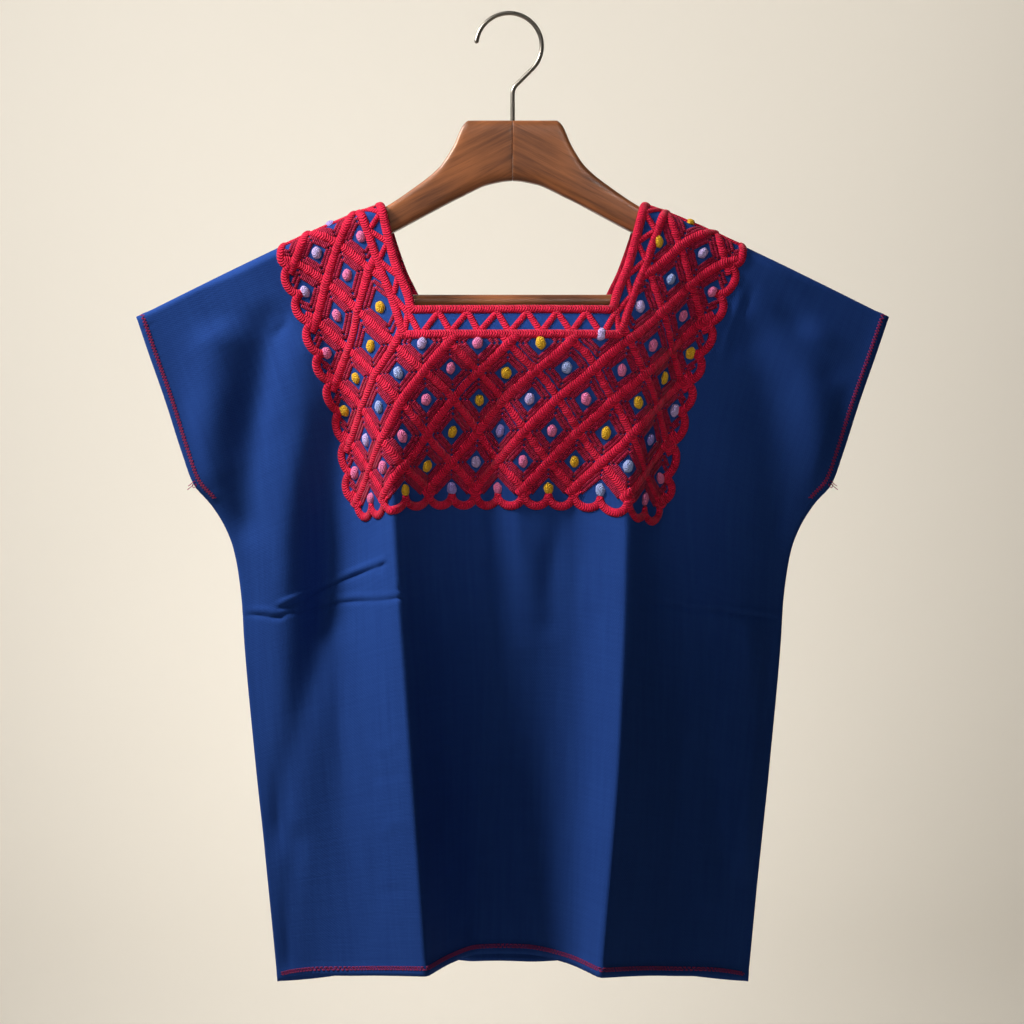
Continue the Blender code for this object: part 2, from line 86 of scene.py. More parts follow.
# Outer rope of the neck band. Columns: down, distance from the middle
BAND_OUTER = np.array(((0, 97), (20, 95.5), (45, 93.4), (75, 91), (90, 87.5), (97.4, 84.5)))
BAND_CORNER, BAND_FOOT = 84.5, 97.4
# Where the hand-sewn rows sag or rise. Columns: across, down, sag, reach
STRAYS = np.array((
    (74, 112, -7.5, 24), (-46, 130, -4.5, 22), (40, 132, -4, 20),
    (-112, 168, 5, 24), (-78, 198, 5.5, 24), (160, 206, 4.5, 22),
    (94, 27, 4.5, 26), (120, 52, 3.5, 26), (92, 180, 1.5, 20)))
HEM_WIDTH = 9.5
HEM_BUILD = 0.55
HEM_EDGE = 1.6
HEM_PUCKER = 0.2
SLEEVE_HEM_END = 168.0
FOOT_LINE = BODY_LENGTH - 6.4
FOOT_LINE_HALF = 254.0

# The fold over the hanger arm, and how the back differs from the front
ARM_FOLD_RADIUS = 8.6
TIP_FOLD_RADIUS = 3.0
ARM_FOLD_END = 210.0
TIP_FOLD_START = 240.0
BACK_DEPTH_SHARE = 0.8
BACK_DROP = 9.0
BACK_NECK_INSET = 5.5
BACK_NECK_REACH = 70.0
BACK_EASE_START = 30.0
BACK_EASE_LENGTH = 60.0

# The outline as it hangs. Columns: down, flat half, hung half, height
OUTLINE = np.array((
    (0, 292, 300.4, -242.8),
    (32, 292, 290.1, -272.4),
    (71, 292, 277.3, -307.6),
    (120, 292, 262.5, -352.4),
    (145, 292, 254, -374.8),
    (167, 281, 241.7, -389.2),
    (193, 272, 229.9, -408.4),
    (215, 267, 222.9, -426),
    (238, 264, 218.9, -445.2),
    (269, 261.5, 215.7, -472.4),
    (301, 260, 214.1, -499.6),
    (412, 260, 205.3, -595.6),
    (511, 260, 196.5, -680.4),
    (618, 260, 187.7, -772.4),
))

# Each level. Columns: down, height of the middle line, half width that stays level, bow's power
LEVELS = np.array((
    (0, -152.4, 76, 1.12),
    (26, -177, 76, 1.45),
    (52.8, -204.5, 76, 1.65),
    (78.4, -235.4, 76, 2.2),
    (104, -265.8, 76, 2.6),
    (155, -308.8, 76, 2),
    (207, -357.7, 76, 1.65),
    (245, -389.5, 72, 1.6),
    (400, -538.5, 40, 1.5),
    (618, -748.4, 0, 1.5),
))

# Fold lines down the cut. Columns: down, then left edge, swell, hollow, yoke, crease, wall and
# middle, then right middle, wall, crease, yoke, hollow, swell and edge
OUTER_SHARES = np.array((0.6, 0.22))
INNER_FOLDS = np.array((-162.4, -104.4, -62, -20, 20, 66, 116, 162.4))
ACROSS = np.array((
    (0, 1, 0.841, 0.692, -182.2, -129.6, -91.1, -53, 53, 94.7, 140.1, 182.2, 0.692, 0.841, 1),
    (52.8, 1, 0.833, 0.674, -165, -115.5, -75, -24, 24, 78.6, 124.3, 159, 0.665, 0.833, 1),
    (78.4, 1, 0.827, 0.662, -156, -106.5, -62.5, -20.5, 20.5, 66.4, 116.6, 151, 0.652, 0.827, 1),
    (104, 1, 0.821, 0.652, -148, -101.5, -63.5, -24, 18.5, 65, 109.7, 141.5, 0.64, 0.821, 1),
    (155, 1, 0.815, 0.639, -133.5, -96.5, -61, -23.5, 10.5, 54, 98.2, 128.5, 0.63, 0.815, 1),
    (207, 1, 0.823, 0.655, -125.5, -94, -62, -26.5, 5.5, 45.5, 90.2, 118, 0.64, 0.823, 1),
    (245, 1, 0.833, 0.668, -124, -93, -61, -27, 6, 45, 90, 118, 0.65, 0.833, 1),
    (412, 1, 0.836, 0.68, -121, -81.5, -51, -21.5, 12, 47, 84, 119, 0.67, 0.836, 1),
    (618, 1, 0.868, 0.655, -107, -66.6, -49, -28, 9, 43, 68, 106, 0.65, 0.86, 1),
))
AHEAD = np.array((
    (0, 3.4, 4.6, 8.6, 8.6, 8.6, 8.6, 8.6, 8.6, 8.6, 8.6, 8.6, 8.6, 4.6, 3.4),
    (52.8, 4.4, 6.8, 10.5, 10.5, 20, 27, 30, 30, 27, 19, 10.5, 9.5, 6.8, 4.4),
    (78.4, 5, 7, 13.5, 12.5, 30, 41, 43, 43, 41, 28, 12, 10.5, 7.5, 5),
    (104, 5, 8.5, 15.5, 13, 38, 53, 55, 56, 53, 36, 11.5, 12, 8, 5),
    (155, 3.5, 13, 12.5, 14, 46, 46, 34, 46, 50, 44, 13, 9, 9.5, 3.5),
    (207, 0.8, 16.5, 8, 14, 50, 31, 18, 38, 37, 49, 14.5, 7, 10.5, 0.8),
    (245, 0, 17, 7, 14, 53, 26, 14, 34, 32, 52, 15, 6.5, 11, 0),
    (412, 0, 16, 17, 27, 65, 29, 15, 17, 30, 66, 31, 17, 11, 0),
    (618, 0, 6, 32, 46, 84, 40, 11, 9, 38, 84, 46, 32, 9, 0),
))
CREASE_COLUMNS = (4, 9)
CREASES_START = 190.0
CREASES_FULL = 262.0

# Soft folds and small creases on the front as it hangs, in millimetres. Columns: start across,
# start height, end across, end height, depth (a ridge is +, a trough -), half width
FRONT_CREASES = np.array((
    (-234, -236, -247, -412, 8, 20),
    (-190, -222, -222, -432, -8.5, 16),
    (-160, -236, -181, -480, 4, 14),
    (-140, -300, -150, -510, -7.5, 14),
    (-148, -440, -192, -680, -5, 13),
    (-172, -640, -182, -770, -2.4, 9),
    (-112, -540, -104, -740, -0.8, 7),
    (184, -236, 219, -436, -8, 16),
    (160, -300, 186, -560, 3, 14),
    (198, -198, 262, -300, -3.2, 13),
    (238, -236, 246, -404, 6.5, 19),
    (156, -470, 164, -700, -5, 13),
    (190, -470, 187, -700, 5.5, 12),
    (-24, -394, -20, -446, -2, 7),
    (-12, -430, -24, -570, -2.2, 8),
    (8, -398, 12, -520, 1.6, 11),
    (36, -392, 27, -500, -2.6, 9),
    (66, -400, 64, -480, 1, 9),
    (-62, -396, -58, -470, 1, 9),
    (-108, -585, -84, -575, 0.7, 4),
    (-110, -610, -84, -596, -0.8, 4),
    (-106, -650, -80, -634, 0.8, 4.5),
    (-104, -700, -78, -684, -0.7, 4.5),
    (-188, -471, -93, -431, 1.7, 2.5),
    (-188, -475, -95, -436, -2, 2.2),
    (-96, -431, -105, -446, -1.5, 2.2),
    (-218, -479, -180, -481, -1.9, 2),
    (-218, -474.6, -180, -476.6, 1.3, 2.6),
    (-192, -481, -138, -470, -1.5, 2),
    (-148, -471.5, -84, -464, -1.6, 2),
    (-148, -467.5, -84, -460, 1.1, 2.6),
    (-92, -466, -82, -446, -1.1, 2.4),
    (110, -470, 140, -473, -1.7, 2),
    (134, -474, 216, -482.5, -1.8, 2),
    (134, -469.6, 216, -478, 1.3, 2.6),
    (192, -204, 170, -292, -1.9, 3.2),
    (184, -208, 162, -290, 1.6, 3.4),
    (-180, -236, -186, -262, -1.6, 4),
    (160, -510, 168, -640, -0.8, 8),
    (-62, -470, -40, -560, -0.9, 7),
))
# The crease lines sway, and fade over a share of their length at each end. Pairs: sway, share
NARROW_CREASE = 3.0
NARROW_SWAY_FADE = (0.5, 0.07)
WIDE_SWAY_FADE = (2.0, 0.16)
FAINT_WAVE = 0.3
# No small creases near the sides and the shoulder, and fainter ones on the back
CREASE_SIDE_MARGIN = 16.0
CREASE_TOP_MARGIN = 20.0
CREASE_TOP_FADE = 30.0
BACK_CREASE_SHARE = 0.6

# Panel grid: cells between the neck's edge lines, over the yoke and over the sleeves
PANEL_CELLS_NECK = 52
PANEL_CELLS_YOKE = 30
PANEL_CELLS_SLEEVE = 40
PANEL_ROWS = ((0, 14.4, 9), (14.4, 78.4, 24), (78.4, 250, 56), (250, 322, 64), (322, 618, 84))
TABLE_STEP = 2.0

# Knots row by row down the lattice, from left to right: yellow, pink, lilac, blue, violet
KNOT_ROWS = (
    (0, (-5, 5), "vy"),
    (1, (-6, -4, 4, 6), "lpyl"),
    (2, (-7, -5, 5, 7), "lpbp"),
    (3, (-6, -4, 4, 6), "pylp"),
    (4, (-7, -5, -3, -1, 1, 3, 5, 7), "pylpylpy"),
    (5, (-6, -4, -2, 0, 2, 4, 6), "ybpybpy"),
    (6, (-7, -5, -3, -1, 1, 3, 5, 7), "ybpylpyl"),
    (7, (-6, -4, -2, 0, 2, 4, 6), "lpyvpyv"),
    (8, (-7, -5, -3, -1, 1, 3, 5, 7), "ppylpybp"),
    (9, (-6, -4, -2, 0, 2, 4, 6), "pyvpybp"),
)
KNOT_COLOURS = ("yellow", "pink", "lilac", "blue", "violet")
BAND_SIZES = (0.690, 0.515)

# Round cords: girth over width, for the places of the stitches on them
CORD_GIRTH = 1.6
NECK_ROUNDING = 4.0
# Turning points of the zig-zag round the neck, from the neck's edge, and its steps
ZIGZAG_NEAR, ZIGZAG_FAR = 4.6, 18.0
ZIGZAG_DOWN, ZIGZAG_OVER = 12.0, 11.5

# The hanger. Columns: across, top, underside
ARM_SECTIONS = np.array((
    (-19, -84.4, -135.4),
    (0, -84.4, -132.4),
    (19, -84.4, -135.4),
    (35, -84.4, -142.2),
    (39.5, -88, -144.6),
    (47, -104.2, -148.2),
    (58.5, -121.6, -154.2),
    (80.5, -139.4, -166),
    (103.8, -154.6, -178.4),
    (140, -171.4, -197.6),
    (175, -187.6, -216.2),
    (187, -193.2, -222.8),
    (194, -196.6, -237.6),
    (207, -203, -239.4),
    (216, -209, -237),
    (221, -216, -231),
    (222.4, -221, -226),
))
ARM_THICKNESS = 14.0
ARM_SLOPE = math.radians(27.0)
BAR_HEIGHT = -229.0
BAR_RADIUS = 5.6
BAR_HALF_LENGTH = 205.0
HOOK_WIRE_RADIUS = 1.8
HOOK_RADIUS = 26.2
HOOK_CENTRE = (-2.9, -24.4)
HOOK_TIP_ANGLE = 176.0
HOOK_THROAT_ANGLE = -45.0
HOOK_BEND_RADIUS = 10.0
STEM_FOOT = -112.0

# The stage, in metres: half its width, the cove's radius, the wall's place behind the hook
STAGE_REACH = 6.0
COVE_RADIUS = 0.5
WALL_AHEAD = 1.1
# Columns: name, place, aim, size, power, beam in degrees, colour
LIGHTS = (
    ("soft_key", (-1.05, -0.30, 0.62), (-0.1, 0.0, -0.30), 0.45, 28.4, 180, (1.0, 0.97, 0.92)),
    ("soft_top", (-0.50, -1.10, 0.60), (-0.02, 0.0, -0.25), 0.4, 0.12, 34, (1.0, 0.98, 0.94)),
    ("soft_yoke", (0.25, -1.30, 0.30), (0.02, 0.0, -0.27), 0.3, 0.06, 16, (1.0, 0.97, 0.93)),
    ("wall_wash_left", (-0.35, 0.35, 1.5), (-0.30, 1.1, -0.75), 0.5, 1.75, 70, (1.0, 0.98, 0.94)),
    ("wall_wash_low", (-0.10, 0.20, -1.30), (-0.12, 1.1, -0.5), 0.8, 2.9, 90, (1.0, 0.97, 0.92)),
    ("wall_wash_right", (0.55, 0.35, 1.5), (0.50, 1.1, -0.55), 0.5, 2.6, 66, (1.0, 0.96, 0.89)),
)
ROOM_COLOUR = (0.85, 0.82, 0.76, 1.0)
ROOM_STRENGTH = 0.05
CAMERA_LENS = 96.7
CAMERA_ACROSS, CAMERA_HEIGHT = -0.0005, -0.3972


# ---- settings -------------------------------------------------------------------------------

def length(name, description, millimetres):
    """A length setting, given in millimetres and kept in metres."""
    return FloatProperty(name=name, description=description, default=millimetres * MM,
                         min=0.0, subtype="DISTANCE", unit="LENGTH", precision=4)


def colour(name, description, value):
    """A colour setting, as linear red, green and blue."""
    return FloatVectorProperty(name=name, description=description, default=value, size=3,
                               min=0.0, max=1.0, subtype="COLOR")


class ClothSettings(PropertyGroup):
    thickness: length("Cloth thickness", "Thickness of the cotton", 1.3)
    # Both blues mix mostly by random dye tone; the weave's height also picks them, as painted highlight on
    # the raised threads (worn blue) and painted shade in the troughs (deep blue).
    light: colour("Worn blue", "Colour of the cotton where it is worn and raised",
                  (0.022, 0.076, 0.330))
    deep: colour("Deep blue", "Colour of the cotton in its troughs", (0.0105, 0.042, 0.215))


class EmbroiderySettings(PropertyGroup):
    rope_width: length("Rope width", "Width of the rope stitches of the lattice", 7.8)
    rope_height: length("Rope height", "How far the rope stitches stand up", 2.3)
    band_width: length("Band width", "Width of the satin bands inside the diamonds", 3.2)
    scallop_depth: length("Scallop depth", "How far each scallop reaches out", 9.0)
    red: colour("Red wool", "Colour of the rope stitches", (0.860, 0.012, 0.068))
    crimson: colour("Crimson", "Colour of the satin bands", (0.490, 0.011, 0.064))
    sewing: colour("Sewing thread", "Colour of the thread of the hems", (0.620, 0.040, 0.210))
    yellow: colour("Yellow", "Colour of the yellow knots", (1.000, 0.560, 0.030))
    pink: colour("Pink", "Colour of the pink knots", (1.000, 0.230, 0.500))
    lilac: colour("Lilac", "Colour of the lilac knots", (0.700, 0.540, 1.000))
    blue: colour("Pale blue", "Colour of the pale blue knots", (0.440, 0.540, 1.000))
    violet: colour("Violet", "Colour of the violet knots", (0.500, 0.380, 0.960))


class HangerSettings(PropertyGroup):
    wood_light: colour("Light walnut", "Colour of the wood between its grain lines", (0.470, 0.160, 0.055))
    wood_dark: colour("Dark walnut", "Colour of the grain lines", (0.120, 0.038, 0.014))
    metal: colour("Nickel", "Colour of the hook", (0.470, 0.430, 0.380))


class StageSettings(PropertyGroup):
    wall: colour("Wall", "Colour of the floor and the backdrop", (0.800, 0.760, 0.690))
    floor_drop: length("Floor height", "How far below the hook the floor lies", 1400.0)
    camera_distance: length("Camera distance", "Distance of the camera from the hanger", 2200.0)


# ---- the drape ------------------------------------------------------------------------------

def smooth_through(at, places, values):
    """A cubic through known values that never overshoots them, row by row.

    Each inner tangent is the harmonic mean of the slopes beside it, or level where they differ in
    sign. Between two known places the value is the Hermite cubic of the two values and tangents.
    """
    step = np.diff(places)
    slope = np.diff(values) / step
    before, after = slope[..., :-1], slope[..., 1:]
    same_way = before * after > 0
    inner = np.where(same_way, 2 * before * after / np.where(same_way, before + after, 1.0), 0.0)
    tangent = np.concatenate([slope[..., :1], inner, slope[..., -1:]], axis=-1)
    cell = (at[..., :, None] > places[..., None, 1:-1]).sum(-1)
    width = np.take_along_axis(step, cell, -1)
    low = np.take_along_axis(values, cell, -1)
    rise = np.take_along_axis(values, cell + 1, -1) - low
    start = np.take_along_axis(tangent, cell, -1) * width
    end = np.take_along_axis(tangent, cell + 1, -1) * width
    t = (at - np.take_along_axis(places, cell, -1)) / width
    return low + t * (start + t * (3 * rise - 2 * start - end + t * (start + end - 2 * rise)))


def creased_through(at, places, values, sharpness):
    """The same cubic, with a share of it broken at the two pressed creases."""
    soft = smooth_through(at, places, values)
    left, right = CREASE_COLUMNS
    parts = [slice(0, left + 1), slice(left, right + 1), slice(right, None)]
    outer_left, inner, outer_right = (
        smooth_through(at, places[:, part], values[:, part]) for part in parts)
    crisp = np.where(at < places[:, left:left + 1], outer_left, inner)
    crisp = np.where(at > places[:, right:right + 1], outer_right, crisp)
    return (1 - sharpness) * soft + sharpness * crisp


def columns_of(table, down):
    """Every column of a table, read at the levels down the cut."""
    return [smooth_through(down, table[:, 0], column) for column in table[:, 1:].T]


def eased(share):
    """A share held between 0 and 1 that sets off and arrives level."""
    share = np.clip(share, 0, 1)
    return share * share * (3 - 2 * share)


def unit(vectors):
    """The same directions, each of length one."""
    return vectors / np.maximum(np.linalg.norm(vectors, axis=-1, keepdims=True), 1e-9)


def small_creases(across, height):
    """How far the small creases lift the front, in millimetres.

    Each crease is a slightly bent line. The lift falls off beside it as a bell curve of its half
    width and fades to nothing towards both of its ends. A faint wave lies over all of the cloth.
    """
    lift = np.sin(across / 13.0 + np.sin(height / 41.0) * 2) * np.sin(height / 47.0 + across / 90.0)
    lift *= FAINT_WAVE
    for x0, z0, x1, z1, depth, half_width in FRONT_CREASES:
        sway, fade = NARROW_SWAY_FADE if half_width < NARROW_CREASE else WIDE_SWAY_FADE
        run = np.array((x1 - x0, z1 - z0))
        size = np.linalg.norm(run)
        along = ((across - x0) * run[0] + (height - z0) * run[1]) / size**2
        aside = ((across - x0) * run[1] - (height - z0) * run[0]) / size
        bend = sway * np.sin(along * 7.0 + x0)
        share = eased(np.minimum(along, 1 - along) / fade) * (0.8 + 0.2 * np.sin(along * 9.0 + z0))
        lift += depth * share * np.exp(-(((aside - bend) / half_width) ** 2))
    return lift


def drape(down, across, back):
    """Where the inner face of the cloth hangs, for a grid of measures of the cut, a row per level.

    Across and ahead are cubics over the fold lines. The height bows from the middle line to the
    outline with the distance across. Near the shoulder the cloth rolls over the arm's round top.
    """
    level = down[:, 0]
    flat_half, hung_half, _ = (column[:, None] for column in columns_of(OUTLINE, level))
    across = np.clip(across, -flat_half, flat_half)
    outer = YOKE_HALF_WIDTH + (flat_half - YOKE_HALF_WIDTH) * np.concatenate([[1.0], OUTER_SHARES])
    inner = np.broadcast_to(INNER_FOLDS, (len(level), len(INNER_FOLDS)))
    lines = np.concatenate([-outer, inner, outer[:, ::-1]], axis=1)
    places = np.stack(columns_of(ACROSS, level), axis=1)
    places[:, :3] *= -hung_half
    places[:, -3:] *= hung_half
    sharpness = eased((down - CREASES_START) / (CREASES_FULL - CREASES_START))
    x = creased_through(across, lines, places, sharpness)
    ahead = creased_through(across, lines, np.stack(columns_of(AHEAD, level), axis=1), sharpness)

    fade = np.clip((np.abs(across) - ARM_FOLD_END) / (TIP_FOLD_START - ARM_FOLD_END), 0, 1)
    radius = ARM_FOLD_RADIUS + (TIP_FOLD_RADIUS - ARM_FOLD_RADIUS) * fade
    turn = np.minimum(down / radius, math.pi / 2)
    quarter = radius * math.pi / 2
    free = radius + (down - quarter) * (NECK_DEPTH - radius) / (NECK_DEPTH - quarter)
    lower = np.where(down < NECK_DEPTH, free, down)
    lower = np.where(down < quarter, radius * (1 - np.cos(turn)), lower)
    middle, level_half, bow = (v.reshape(lower.shape) for v in columns_of(LEVELS, lower.ravel()))
    edge_flat, _, edge_height = (v.reshape(lower.shape) for v in columns_of(OUTLINE, lower.ravel()))
    out = np.clip((np.abs(across) - level_half) / (edge_flat - level_half), 0, 1)
    height = middle + (edge_height - middle) * out**bow
    ahead = np.maximum(ahead * np.sin(turn), 0.0)
    edge = np.clip((flat_half - np.abs(across)) / CREASE_SIDE_MARGIN, 0, 1)
    edge = edge * np.clip((down - CREASE_TOP_MARGIN) / CREASE_TOP_FADE, 0, 1)
    if not back:
        ahead = ahead + small_creases(x, height) * edge
        return np.stack([x, -ahead, height], axis=-1)
    near_neck = np.exp(-(((down - NECK_DEPTH) / BACK_NECK_REACH) ** 2))
    near_neck = np.minimum(down / NECK_DEPTH, 1) * near_neck
    from_neck = np.clip(1 - (np.abs(across) - NECK_HALF_WIDTH) / BACK_NECK_REACH, 0, 1)
    x = x - np.sign(across) * BACK_NECK_INSET * near_neck * from_neck
    height = height - BACK_DROP * np.clip(1 - (across / flat_half) ** 4, 0, 1) * down / BODY_LENGTH
    below_arm = np.clip((down - BACK_EASE_START) / BACK_EASE_LENGTH, 0, 1)
    ahead = ahead * (1 - below_arm * (1 - BACK_DEPTH_SHARE))
    ahead = ahead + BACK_CREASE_SHARE * small_creases(-x, height) * edge
    return np.stack([x, np.maximum(ahead, 0.0), height], axis=-1)


def outward(points, back):
    """Unit normals of a grid of points, away from the wearer: the cross product of its two runs."""
    normal = np.cross(np.gradient(points, axis=0), np.gradient(points, axis=1))
    normal[0, :, 1] = 0.0
    normal = unit(normal)
    normal[0] *= np.sign(normal[0, :, 2:])
    away = 1.0 if back else -1.0
    normal[1:] *= np.where(normal[1:, :, 1:2] * away < 0, -1.0, 1.0)
    return normal


class Side:
    """One hung panel as a fine table of outer points and normals, read between its cells."""

    def __init__(self, back, thickness):
        self.back = back
        self.thickness = thickness
        down = np.arange(0.0, BODY_LENGTH + TABLE_STEP, TABLE_STEP)
        across = np.arange(-CUT_HALF_WIDTH, CUT_HALF_WIDTH + 0.1, TABLE_STEP)
        inner = drape(*np.meshgrid(down, across, indexing="ij"), back)
        self.normal = outward(inner, back)
        self.outer = inner + self.normal * thickness

    def at(self, across, down):
        """Points and unit normals at measures of the cut, each blended from four table entries."""
        row = np.clip(down / TABLE_STEP, 0, self.outer.shape[0] - 1.001)
        column = np.clip((across + CUT_HALF_WIDTH) / TABLE_STEP, 0, self.outer.shape[1] - 1.001)
        i, j = row.astype(int), column.astype(int)
        r, c = (row - i)[..., None], (column - j)[..., None]
        found = []
        for table in (self.outer, self.normal):
            near = table[i, j] * (1 - c) + table[i, j + 1] * c
            far = table[i + 1, j] * (1 - c) + table[i + 1, j + 1] * c
            found.append(near * (1 - r) + far * r)
        return found[0], unit(found[1])


# ---- meshes ---------------------------------------------------------------------------------

def link_new(name, data):
    """A new object in the scene, at the origin."""
    made = bpy.data.objects.new(name, data)
    bpy.context.scene.collection.objects.link(made)
    return made


def add_piece(name, shape, materials, node=None, chosen=None, grain=None):
    """A piece from whole arrays: points in millimetres, corner indices, corners of each face, and
    a place on the thread or cloth for each corner, in metres. It may stand for a node."""
    points, loops, sizes, uv = shape
    mesh = bpy.data.meshes.new(name)
    mesh.vertices.add(len(points))
    mesh.vertices.foreach_set("co", (points * MM).astype(np.float32).ravel())
    mesh.loops.add(len(loops))
    mesh.loops.foreach_set("vertex_index", loops.astype(np.int32))
    mesh.polygons.add(len(sizes))
    starts = np.concatenate([[0], np.cumsum(sizes)[:-1]])
    mesh.polygons.foreach_set("loop_start", starts.astype(np.int32))
    if chosen is not None:
        mesh.polygons.foreach_set("material_index", chosen.astype(np.int32))
    layer = mesh.uv_layers.new(name="cut")
    layer.data.foreach_set("uv", uv.astype(np.float32).ravel())
    if grain is not None:
        run = mesh.attributes.new("grain", "FLOAT_VECTOR", "POINT")
        run.data.foreach_set("vector", (grain * MM).astype(np.float32).ravel())
    mesh.update(calc_edges=True)
    mesh.validate()
    mesh.shade_smooth()
    for material in materials:
        mesh.materials.append(material)
    piece = link_new(name, mesh)
    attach(piece, "root")
    if node:
        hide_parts(node)
    return piece


def turns_of(sides):
    """The angles of evenly spaced points round a ring."""
    return np.arange(sides) * 2 * math.pi / sides


def tubes(rings, along, around):
    """Corner arrays of a set of tubes given as rings of points, (tube, ring, point, 3), ends closed.

    Returns points, corners, face sizes and places: metres along each tube and metres round it.
    """
    count, each, sides = rings.shape[:3]
    index = np.arange(count * each * sides).reshape(count, each, sides)
    after = np.roll(index, -1, axis=2)
    quads = np.stack([index[:, :-1], index[:, 1:], after[:, 1:], after[:, :-1]], axis=-1)
    place = np.stack(np.broadcast_arrays(along[:, :, None], around), axis=-1)
    quad_place = np.stack([place[:, :-1, :-1], place[:, 1:, :-1], place[:, 1:, 1:],
                           place[:, :-1, 1:]], axis=-2)
    caps = np.concatenate([index[:, 0], index[:, -1, ::-1]])
    cap_place = np.concatenate([place[:, 0, :-1], place[:, -1, :-1][:, ::-1]])
    loops = np.concatenate([quads.ravel(), caps.ravel()])
    sizes = np.concatenate([np.full(quads.size // 4, 4), np.full(len(caps), sides)])
    uv = np.concatenate([quad_place.reshape(-1, 2), cap_place.reshape(-1, 2)])
    return rings.reshape(-1, 3), loops, sizes, uv * MM


def sewn(side, paths, width, height, sides=10, lift=0.0, flat=0.3):
    """Cords sewn along lines of the cut, given as (cord, point, 2) measures across and down.

    The profile is an ellipse over the cloth, its lower half pressed flat. It is carried along the
    line on the cloth's own normal, and across it on the cross product of normal and line.
    """
    centre, normal = side.at(paths[..., 0], paths[..., 1])
    aside = unit(np.cross(normal, unit(np.gradient(centre, axis=1))))
    turns = turns_of(sides)
    up = np.where(np.sin(turns) < 0, np.sin(turns) * flat, np.sin(turns))
    width, height, lift = (np.broadcast_to(value, centre.shape[:2])[..., None, None]
                           for value in (width, height, lift))
    rings = centre[:, :, None] + aside[:, :, None] * np.cos(turns)[:, None] * width / 2
    rings = rings + normal[:, :, None] * (up[:, None] * height + lift)
    steps = np.linalg.norm(np.diff(centre, axis=1), axis=-1)
    along = np.concatenate([np.zeros((len(centre), 1)), np.cumsum(steps, axis=1)], axis=1)
    return tubes(rings, along, np.linspace(-0.25, 0.75, sides + 1) * width[..., 0] * CORD_GIRTH)


def joined(parts):
    """Several sets of corner arrays as one, with the corners counted on."""
    points, loops, sizes, uv = zip(*parts)
    starts = np.cumsum([0] + [len(part) for part in points[:-1]])
    loops = [part + start for part, start in zip(loops, starts)]
    return tuple(np.concatenate(arrays) for arrays in (points, loops, sizes, uv))


# ---- finishes -------------------------------------------------------------------------------

def new_group(name, colours, **numbers):
    """A shader node group that takes a Place, colours and numbers, and the sockets they come by."""
    group = bpy.data.node_groups.new(name, "ShaderNodeTree")
    inputs = [("Place", "Vector"), *((label, "Color") for label in colours)]
    inputs += [(label, "Float") for label in numbers]
    outputs = (("Color", "Color"), ("Roughness", "Float"), ("Height", "Float"))
    for way, sockets in (("INPUT", inputs), ("OUTPUT", outputs)):
        for label, kind in sockets:
            socket = group.interface.new_socket(name=label, in_out=way,
                                                socket_type=f"NodeSocket{kind}")
            if label in numbers:
                socket.default_value = numbers[label]
    given = group.nodes.new("NodeGroupInput")
    return group, given.outputs[:len(inputs)]


def give(group, *sockets):
    """Close a group with its colour, its roughness and its height."""
    out = group.nodes.new("NodeGroupOutput")
    for place, socket in enumerate(sockets):
        group.links.new(socket, out.inputs[place])
    return group


def put(tree, kind, values=(), **settings):
    """A node with its settings, and its input sockets given as values or as links by place."""
    node = tree.nodes.new(kind)
    for name, value in settings.items():
        setattr(node, name, value)
    for place, value in dict(values).items():
        if isinstance(value, bpy.types.NodeSocket):
            tree.links.new(value, node.inputs[place])
        else:
            node.inputs[place].default_value = value
    return node


def calc(tree, operation, *values):
    return put(tree, "ShaderNodeMath", enumerate(values), operation=operation).outputs[0]


def total(tree, *terms):
    """The sum of several values, each times its weight."""
    weighed = [calc(tree, "MULTIPLY", value, weight) for value, weight in terms]
    return reduce(lambda so_far, term: calc(tree, "ADD", so_far, term), weighed)


def wave(tree, count):
    """A sine wave that takes half a turn for each count."""
    return calc(tree, "SINE", calc(tree, "MULTIPLY", count, math.pi))


def blend_colours(tree, share, low, high):
    return put(tree, "ShaderNodeMix", {0: share, 6: low, 7: high}, data_type="RGBA").outputs[2]


def stretched(tree, place, scale):
    return put(tree, "ShaderNodeMapping", {"Vector": place, "Scale": scale}).outputs[0]


def noise(tree, place, scale=1.0, detail=3.0, roughness=0.5):
    return put(tree, "ShaderNodeTexNoise", {"Vector": place, "Scale": scale, "Detail": detail,
                                            "Roughness": roughness}).outputs[0]


def spread(tree, value, low, high, start=0.0, end=1.0):
    """A value that goes from start to end while another goes from low to high, and stops there."""
    return put(tree, "ShaderNodeMapRange", {0: value, 1: low, 2: high, 3: start, 4: end}).outputs[0]


